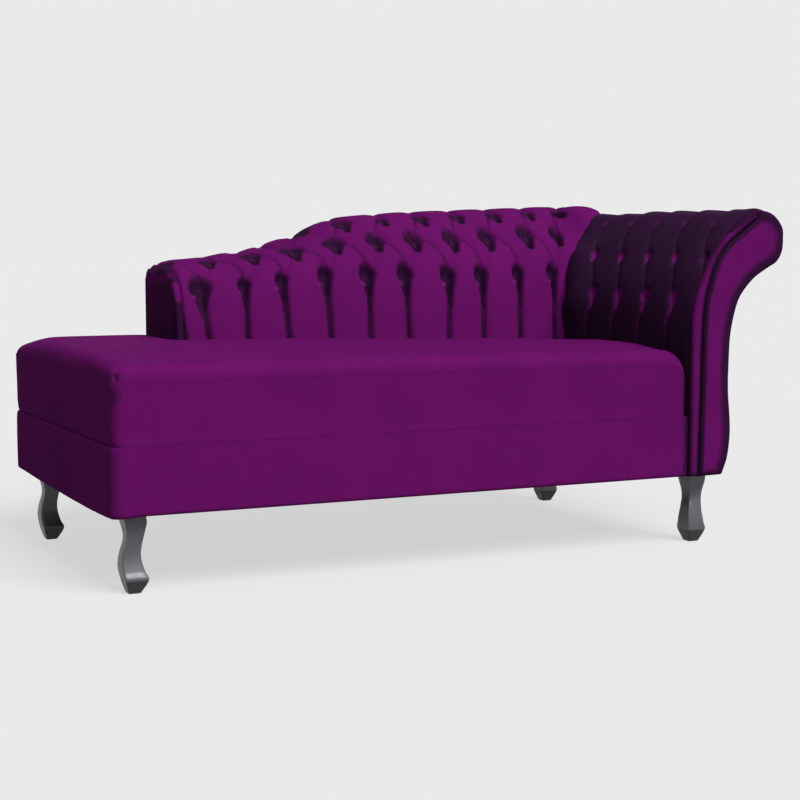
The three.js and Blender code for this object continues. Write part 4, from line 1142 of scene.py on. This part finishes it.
def patterned_material(name, group, colour, darken, rough, bumps, **values):
    """Two tones of a colour, laid out by a node group: wood grain or crossed threads."""
    material, tree, shader = begin_material(name)
    pattern = place_group(tree, group, Light=with_alpha(colour), Dark=with_alpha(colour, darken), **values)
    set_inputs(tree, shader, {"Base Color": pattern.outputs["Colour"], "Roughness": rough,
                              "Normal": relief(tree, pattern.outputs["Height"], *bumps)})
    return material


def steel_material(colours):
    material, tree, shader = begin_material("Zinc-plated steel")
    blotches = noise(tree, object_place(tree), 240.0, 3.0)
    tone = mix_colours(tree, blotches, with_alpha(colours.steel), with_alpha(colours.steel, 0.7))
    rough = math_node(tree, "MULTIPLY_ADD", blotches, 0.2, 0.3)
    set_inputs(tree, shader, {"Base Color": tone, "Roughness": rough, "Metallic": 1.0})
    return material


# Operators


class CouchOperator:
    """Shared by the couch's operators: its sizes, its velvet, and its velvet in painted shade, which carries
    painted highlights where marked
    """

    bl_options = {"REGISTER", "UNDO"}

    def settings(self, context):
        tones = context.scene.couch_colours
        smooth_pile = velvet_material("Velvet", tones.velvet, tones.velvet_brushed, tones.velvet_painted_shade,
                                      tones.velvet_sheen)
        # A copy of the velvet with painted shade in its tone and painted highlights where its mask marks it
        shaded_velvet = velvet_material("Velvet in painted shade", tones.velvet_shaded, tones.velvet_painted_shade,
                                  tones.velvet_lit, tones.velvet_sheen, 0.35)
        return context.scene.couch_sizes, smooth_pile, shaded_velvet


class COUCH_OT_seat_cushion(CouchOperator, bpy.types.Operator):
    """Build the seat, which fills the box and runs to the rear at the open end"""

    bl_idname = "couch.seat_cushion"
    bl_label = "Seat Cushion"

    def execute(self, context):
        sizes, velvet, _ = self.settings(context)
        points, faces = seat_mesh(sizes)
        points = filled_out(points, faces)
        placed = to_frame(seat_wrinkles(points))
        seat = piece_from("seat_cushion", placed, faces, velvet, "velvet", seat_marks(points))
        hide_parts("seat_pad")
        return {"FINISHED"}


def band_path():
    """The base's outline in plan, from the arm round the open end to the arm again."""
    def straight_run(start, end, step=12.0):
        start, ahead = np.array(start), np.subtract(end, start)
        count = int(math.hypot(*ahead) / step) + 1
        return [start + ahead * k / count for k in range(count)]

    def corner(cx, cy, first, radius):
        turns = np.radians(np.arange(first, first - 91, -9))
        return [np.array((cx + radius * math.cos(t), cy + radius * math.sin(t))) for t in turns]

    near, rear, end = NEAR_CORNER, REAR_CORNER, ARM_INNER - 0.6
    path = straight_run((ARM_INNER + 8, 0), (near, 0))
    path += corner(near, near, 270, near)
    path += straight_run((0, near), (0, REAR - rear))[1:]
    path += corner(rear, REAR - rear, 180, rear)
    path += straight_run((rear, REAR), (end, REAR))[1:]
    return np.array(path + [np.array((end, REAR))])


def band_sag(path):
    """How far the band's lower edge sags: only round the open end."""
    x, y = path.T
    return along(END_SAG, y) * fade(2, 70, x)


def beside_border(x):
    """How much painted shade lies where the seat and its band tuck in beside the arm's border."""
    return 0.85 * blend(ARM_INNER - 16, ARM_INNER - 3, x)


class COUCH_OT_lower_band(CouchOperator, bpy.types.Operator):
    """Build the velvet band round the base, below the seam"""

    bl_idname = "couch.lower_band"
    bl_label = "Lower Band"

    def execute(self, context):
        sizes, velvet, _ = self.settings(context)
        path = band_path()
        inward = left_normals(path) * -1
        high, low = SEAM - 0.05, LEG_HEIGHT + 0.2
        heights = np.concatenate([high - np.array(BAND_STEPS), np.linspace(SEAM - 14, low + 14, 13),
                                  low + np.array([8, 5, 2.5, 1, 0.2, 0])])
        from_top, from_low = high - heights, heights - low
        drawn = 0.75 * rounded(from_low, 8) + 0.7 * (1 - np.sin(np.pi * from_low / (SEAM - low)))
        at_seam = 0.2 * seam_draw(path[:, :1], sizes.seam_dip / MM)
        at_end = 4.0 * at_open_end(path[:, :1])
        drawn = drawn + at_seam * arc_profile(from_top, 6.0) + at_end * arc_profile(from_top, 16.0)
        height = heights - band_sag(path)[:, None] * blend(60, 0, from_low)
        (x, y), (in_x, in_y) = path.T[..., None], inward.T[..., None]
        outer, inner = (np.stack([x + in_x * depth, y + in_y * depth, height], -1)
                        for depth in (drawn, np.full_like(drawn, BAND_DEPTH)))
        # Painted shade along the front beside the arm's border
        shaded = np.repeat(beside_border(path[:, 0]) * (path[:, 1] < 100), len(heights))
        band = piece_from("lower_band", *placed_shell(outer, inner), velvet, "velvet", shaded)
        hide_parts("band_front", "band_left", "band_rear")
        return {"FINISHED"}


class COUCH_OT_buttoned_back(CouchOperator, bpy.types.Operator):
    """Build the deep-buttoned back and its buttons"""

    bl_idname = "couch.buttoned_back"
    bl_label = "Buttoned Back"

    def execute(self, context):
        sizes, velvet, shaded_velvet = self.settings(context)
        outer, inner, painted_shade_and_light = back_surface(sizes)
        pad = piece_from("buttoned_back", *placed_shell(outer, inner), velvet, "velvet", painted_shade_and_light)
        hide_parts("back_pad")
        for row, places in enumerate((LOW_ROW, MIDDLE_ROW, UPPER_ROW), start=1):
            for k, (x, _) in enumerate(places):
                if PAD_LEFT + 10 <= x <= BACK_EVEN_END:
                    # The buttons take the velvet with painted shade
                    self.button(f"back_button_{row}_{k + 1}", row, x, sizes, shaded_velvet)
        return {"FINISHED"}

    def button(self, name, row, x, sizes, material):
        """The low row's buttons carry a painted highlight above their hollows; the others sit down in theirs.
        """
        low = row == 1
        x, height = (x - 26.0, row - 0.20) if low else (x - 4.0, row - 0.12)
        lift = self.lift_at(x, height, sizes) - BUTTON_SINK if low else BUTTON_LIFT
        here, above = (back_point(np.array([x]), np.array([height]), np.array([lift + more]))[0]
                       for more in (0, 1))
        cushion_button(name, here, above - here, sizes.button, material, lit=low)

    def lift_at(self, x, row, sizes):
        """How far the padding stands above the buttons' surface at a place."""
        x, row = np.array([x]), np.array([row])
        arc = straight(ROW_ARCS, row + 1)
        rise, _ = press(back_pleats(), back_pits(), sizes.fold_width / MM, x, arc)
        return float((back_puff(x, row) * rise)[0])


class COUCH_OT_back_covers(CouchOperator, bpy.types.Operator):
    """Build the padded cover of the back's open end and the flat outside back"""

    bl_idname = "couch.back_covers"
    bl_label = "Back Covers"

    def execute(self, context):
        _, velvet, _ = self.settings(context)
        rows = np.linspace(-0.06, 4, 90)
        x = np.full_like(rows, PAD_LEFT)
        line = back_point(x, rows, back_puff(x, rows) - 9)[:, 1:]
        line[:, 0] = np.minimum(line[:, 0], PAD_REAR - 1)
        rear_edge = [(PAD_REAR - 1, z) for z in (600, 560, 520, 480, 440)]
        outline = np.concatenate([line, rear_edge, [(y, 440) for y in (740, 690, 640, 600)]])[::-1]
        cover = panel("back_end_cover_padded", outline, BACK_END + 0.4, PAD_LEFT + 1, self.end_depth, velvet,
                      axis=0, marks=self.end_marks)
        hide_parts("back_end_cover")
        rear = panel("outside_back_panel", self.outside_outline(), REAR, PAD_REAR + 0.3,
                     lambda points, away: rounded(away, 3.5), velvet, step=24.0)
        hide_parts("outside_back")
        return {"FINISHED"}

    def end_depth(self, points, away):
        """The cover's edge turns back further to the rear."""
        return rounded(away, 7 + 7 * blend(570, 630, points[:, 1]))

    def end_marks(self, points):
        """Painted shade up the cover's face and over its top, with a patch of the plain velvet tone between
        the two.
        """
        y, z = points.T
        limit = along(END_SHADE, y)
        on_face = fade(limit - 5, limit + 5, z) * (0.64 + 0.36 * fade(562, 580, y))
        on_top = 0.85 * blend(613, 621, z)
        corner = 0.8 * fade(604, 614, y) * blend(594, 602, z)
        return np.maximum(np.maximum(on_face, on_top), corner)

    def outside_outline(self):
        """The outside back in x and z: up the open end, along the crest, over the scroll and down the arm."""
        low, right = SEAM + 1, ARM_INNER + 4
        xs = np.linspace(BACK_END + 10, LENGTH - 20, 220)
        crest = np.stack([xs, along(CREST_LINE, xs) + 1 - crest_notch(xs)], -1)
        roll = np.stack(arm_line(np.linspace(6.4, 10.6, 26), -3), -1)
        scroll = np.stack(outer_line(60, 3), -1)
        scroll = scroll[scroll[:, 1] < 625]
        corner = [(BACK_END + 3, low), (BACK_END + 3, 600), (BACK_END + 5, 612)]
        foot = [(right, LEG_HEIGHT + 0.5), (right, low)]
        return np.concatenate([corner, crest, roll, scroll, foot])[::-1]


class COUCH_OT_buttoned_arm(CouchOperator, bpy.types.Operator):
    """Build the deep-buttoned scroll arm, its buttons and its outer cover"""

    bl_idname = "couch.buttoned_arm"
    bl_label = "Buttoned Arm"

    def execute(self, context):
        sizes, velvet, shaded_velvet = self.settings(context)
        outer, inner, lit = arm_surface(sizes)
        # The arm's pad takes the velvet with painted shade, with painted highlights at its hollows
        pad = piece_from("buttoned_arm", *placed_shell(outer, inner), shaded_velvet, "velvet", lit)
        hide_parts("arm_pad")
        for row, places in arm_buttons().items():
            (x, z), (up_x, up_z) = (arm_line(float(row), lift - ARM_PUFFS[row]) for lift in (0, 1))
            normal = np.array((up_x - x, 0, up_z - z))
            for k, y in enumerate(places):
                if 20 < y < 600:
                    name, centre = f"arm_button_{row - 1}_{k + 1}", np.array((x, y, z))
                    cushion_button(name, centre, normal, sizes.button, shaded_velvet)
        self.outer_cover(velvet)
        return {"FINISHED"}

    def outer_cover(self, velvet):
        depths = stretches((0.6, 8, 1.5), (8, PAD_REAR - 8, 16), (PAD_REAR - 8, PAD_REAR - 0.4, 1.5))
        near = np.minimum(depths, PAD_REAR - depths)
        outer, inner = [], []
        for depth, inset in zip(depths, 0.43 * rounded(near, 7)):
            for skin, moved in ((outer, inset), (inner, 4.6)):
                x, z = outer_line(70, moved)
                skin.append(np.stack([x, np.full_like(x, depth), z], -1))
        skins = placed_shell(np.array(outer), np.array(inner))
        cover = piece_from("arm_outer_velvet", *skins, velvet, "velvet")
        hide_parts("arm_outer_cover")


class COUCH_OT_arm_front(CouchOperator, bpy.types.Operator):
    """Build the padded front of the arm: the scroll-shaped facing and the border strip beside it"""

    bl_idname = "couch.arm_front"
    bl_label = "Arm Front"

    def execute(self, context):
        sizes, velvet, _ = self.settings(context)
        edge = sizes.trim_edge / MM
        proud = (FRONT - CAD_BOX[0].y) / MM
        groove = np.stack(smooth_line(ARM_GROOVE, np.linspace(0, len(ARM_GROOVE) - 1, 90)), -1)
        over = np.linspace(5.22, 10.7, 60)
        roll = np.stack(arm_line(over, -1.5 - 5 * fade(5.2, 5.8, over)), -1)
        rim = np.concatenate([roll, np.stack(outer_line(90, 1), -1)[1:]])
        inside = np.stack(arm_line(np.linspace(0.02, 5.16, 96), -1.2), -1)
        foot = [(ARM_INNER + 1.2, z) for z in np.arange(LEG_HEIGHT + 0.3, 300, 6)]
        side = np.concatenate([foot, inside])

        def turned(points, away):
            return rounded(away, edge)

        # Painted shade beside the groove and in a band round the facing's rim
        def facing_marks(points):
            at_rim = fade(15, 38, line_distance(points, rim))
            return np.maximum(fade(6, 13, line_distance(points, groove)), at_rim)

        # Painted shade beside the groove and along the side by the seat
        def border_marks(points):
            at_seat = self.shaded_side(points, line_distance(points, side))
            return np.maximum(fade(6, 15, line_distance(points, groove)), at_seat)

        outline = np.concatenate([groove + (0.4, -0.3), rim])[::-1]
        facing = panel("arm_facing_padded", outline, -proud, -TRIM_REAR, turned, velvet, marks=facing_marks)
        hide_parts("arm_facing")
        outline = np.concatenate([side, (groove + (-0.4, 0.3))[::-1]])[::-1]
        near = 1 - proud
        border = panel("arm_border_padded", outline, near, -TRIM_REAR, turned, velvet, marks=border_marks)
        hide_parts("arm_border")
        return {"FINISHED"}

    def shaded_side(self, points, away):
        """The border's margin of painted shade beside the seat, which runs out where the arm leans away."""
        height = points[:, 1]
        margin = 4 * fade(440, 540, height) + 13 * blend(698, 738, height)
        return np.maximum(fade(margin - 3, margin + 3, away), 0.6 * blend(700, 742, height))


class COUCH_OT_legs(CouchOperator, bpy.types.Operator):
    """Build the four lacquered cabriole legs, each sawn to one outline from two sides"""

    bl_idname = "couch.legs"
    bl_label = "Legs"

    def execute(self, context):
        lacquer = lacquer_material(context.scene.couch_colours)
        for corner, turns in LEGS.items():
            self.leg(corner, turns, lacquer)
        return {"FINISHED"}

    def leg(self, corner, turns, lacquer):
        node = "leg_" + corner
        low, high = (np.array(v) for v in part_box(node))
        heights = np.concatenate([[0, 0.5, 1.5, 3, 6], np.linspace(10, 155, 59), [158, LEG_HEIGHT - 0.2]])
        heel, toe = (np.interp(heights, *smooth_line(line, np.linspace(0, len(line) - 1, 80)))
                     for line in (HEEL, TOE))
        rings = []
        for height, h, t in zip(heights, heel, toe):
            small = 1.2 * (1 - min(1, height / 1.5))
            h, t = h - small, t - small
            rings.append([(x, y, height) for x, y in self.eased([(-h, -t), (t, -t), (t, h), (-h, h)])])
        rings = np.array(rings)
        if turns:
            rings[..., [0, 1]] = np.stack([-rings[..., 1], rings[..., 0]], -1)
        base = rings[..., :2].reshape(-1, 2)
        centre = (low[:2] + high[:2]) / 2 - (base.min(0) + base.max(0)) / 2 * MM
        points = rings.reshape(-1, 3) * MM + (*centre, 0)
        count = rings.shape[1]
        at = np.arange(len(rings) * count).reshape(len(rings), count)
        at = np.concatenate([at, at[:, :1]], 1)
        faces = [list(face) for face in quads(at)] + [list(range(count)), list(at[-1, :-1])]
        piece = piece_from("cabriole_" + corner, points, faces, lacquer, "leg_paint")
        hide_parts(node)

    def eased(self, corners):
        """The outline of a square with rounded corners and a few points along each side."""
        found = []
        corners = np.array(corners, float)
        for k in range(4):
            here, before, after = corners[k], corners[k - 1], corners[(k + 1) % 4]
            to_before, to_after = ((there - here) / np.linalg.norm(there - here) * LEG_EDGE
                                   for there in (before, after))
            for turn in (0, math.pi / 4, math.pi / 2):
                found.append(here + to_before * (1 - math.sin(turn)) + to_after * (1 - math.cos(turn)))
            start, end = here + to_after, after - to_after
            found += [start + (end - start) * share for share in (0.25, 0.5, 0.75)]
        return found


class COUCH_OT_hidden_frame(CouchOperator, bpy.types.Operator):
    """Finish the wooden frame, webbing, bottom cloth and bolts that the velvet hides"""

    bl_idname = "couch.hidden_frame"
    bl_label = "Hidden Frame"

    def execute(self, context):
        colours = context.scene.couch_colours
        wood, weave = group_once("Wood grain", grain_group), group_once("Crossed threads", weave_group)
        made, planed, woven = patterned_material, (0.3, 0.0006), (0.5, 0.0004)
        finishes = {
            "pine": made("Planed pine", wood, colours.pine, 0.55, 0.7, planed, Strength=0.6),
            "plywood": made("Plywood", wood, colours.plywood, 0.6, 0.75, planed, Strength=0.7),
            "hardboard": made("Hardboard", wood, colours.hardboard, 0.7, 0.6, planed, Strength=0.5),
            "webbing": made("Elastic webbing", weave, colours.webbing, 0.4, 0.85, woven, Threads=260.0),
            "lining_cloth": made("Bottom cloth", weave, colours.lining, 0.4, 0.95, woven, Threads=700.0),
            "bolt_steel": steel_material(colours),
        }
        slots = {part["node"]: part["material_slot"] for part in frame["record"]["subparts"]}
        for name, node in frame["nodes"].items():
            if slots[name] in finishes:
                node.data.materials.clear()
                node.data.materials.append(finishes[slots[name]])
        return {"FINISHED"}


class COUCH_OT_stage(CouchOperator, bpy.types.Operator):
    """Set the floor, light and camera"""

    bl_idname = "couch.stage"
    bl_label = "Stage"

    def execute(self, context):
        colours = context.scene.couch_colours
        self.floor(colours)
        self.world(colours)
        self.sun("Key light", turn=(43, 0, 13), strength=3.6, softness=36)
        self.camera(context)
        context.scene.view_settings.view_transform = "Standard"
        return {"FINISHED"}

    def floor(self, colours):
        size = 40.0
        mesh = bpy.data.meshes.new("studio_floor")
        corners = [(-size, -size, 0), (size, -size, 0), (size, size, 0), (-size, size, 0)]
        mesh.from_pydata(corners, [], [(0, 1, 2, 3)])
        floor = bpy.data.objects.new("studio_floor", mesh)
        bpy.context.scene.collection.objects.link(floor)
        material, tree, shader = begin_material("Studio floor")
        seen = self.seen_rays(tree)
        tone = mix_colours(tree, seen, (0.3, 0.3, 0.3, 1), with_alpha(colours.floor, 0.25))
        glow = mix_colours(tree, seen, (0, 0, 0, 1), with_alpha(colours.background, 0.75))
        set_inputs(tree, shader, {"Base Color": tone, "Emission Color": glow, "Emission Strength": 1.0,
                                  "Roughness": 0.9, "Specular IOR Level": 0.0})
        mesh.materials.append(material)

    def seen_rays(self, tree):
        """1 for rays that show the backdrop: straight to the camera, mirrored or through glass."""
        rays = add(tree, "LightPath").outputs
        clear = math_node(tree, "MAXIMUM", rays["Is Glossy Ray"], rays["Is Transmission Ray"])
        return math_node(tree, "MAXIMUM", rays["Is Camera Ray"], clear)

    def world(self, colours):
        world = bpy.data.worlds.new("Studio")
        bpy.context.scene.world = world
        world.use_nodes = True
        tree = world.node_tree
        tree.nodes.clear()
        seen = self.seen_rays(tree)
        soft = add(tree, "Background", Color=(1, 1, 1, 1), Strength=0.2)
        pale = add(tree, "Background", Color=with_alpha(colours.background))
        mixed = add(tree, "MixShader")
        feed(tree, mixed.inputs, (seen, soft.outputs[0], pale.outputs[0]))
        add(tree, "OutputWorld", Surface=mixed.outputs[0])

    def sun(self, name, turn, strength, softness):
        light = bpy.data.lights.new(name, "SUN")
        light.energy = strength
        light.angle = math.radians(softness)
        lamp = bpy.data.objects.new(name, light)
        lamp.rotation_euler = [math.radians(a) for a in turn]
        bpy.context.scene.collection.objects.link(lamp)

    def camera(self, context):
        data = bpy.data.cameras.new("Camera")
        data.lens = 75.45
        data.sensor_width = 36.0
        camera = bpy.data.objects.new("Camera", data)
        camera.location = (-1.674, -3.509, 0.705)
        camera.rotation_euler = (math.pi / 2 - 0.0974, 0, -0.4472)
        context.scene.collection.objects.link(camera)
        context.scene.camera = camera


class COUCH_PT_panel(bpy.types.Panel):
    """Sizes, colours and build steps of the couch"""

    bl_idname = "COUCH_PT_panel"
    bl_label = "Fainting Couch"
    bl_space_type = "VIEW_3D"
    bl_region_type = "UI"
    bl_category = "Couch"

    def draw(self, context):
        for settings in (context.scene.couch_sizes, context.scene.couch_colours):
            box = self.layout.box()
            for name in settings.__annotations__:
                box.prop(settings, name)
        for operator in OPERATORS:
            self.layout.operator(operator.bl_idname)


OPERATORS = [
    COUCH_OT_stage,
    COUCH_OT_hidden_frame,
    COUCH_OT_legs,
    COUCH_OT_lower_band,
    COUCH_OT_seat_cushion,
    COUCH_OT_buttoned_back,
    COUCH_OT_back_covers,
    COUCH_OT_buttoned_arm,
    COUCH_OT_arm_front,
]
CLASSES = [CouchSizes, CouchColours, *OPERATORS, COUCH_PT_panel]


def register():
    for cls in CLASSES:
        bpy.utils.register_class(cls)
    bpy.types.Scene.couch_sizes = bpy.props.PointerProperty(type=CouchSizes)
    bpy.types.Scene.couch_colours = bpy.props.PointerProperty(type=CouchColours)


def unregister():
    del bpy.types.Scene.couch_colours
    del bpy.types.Scene.couch_sizes
    for cls in reversed(CLASSES):
        bpy.utils.unregister_class(cls)


def main():
    register()
    for operator in OPERATORS:
        group, name = operator.bl_idname.split(".")
        getattr(getattr(bpy.ops, group), name)()


if __name__ == "__main__":
    main()
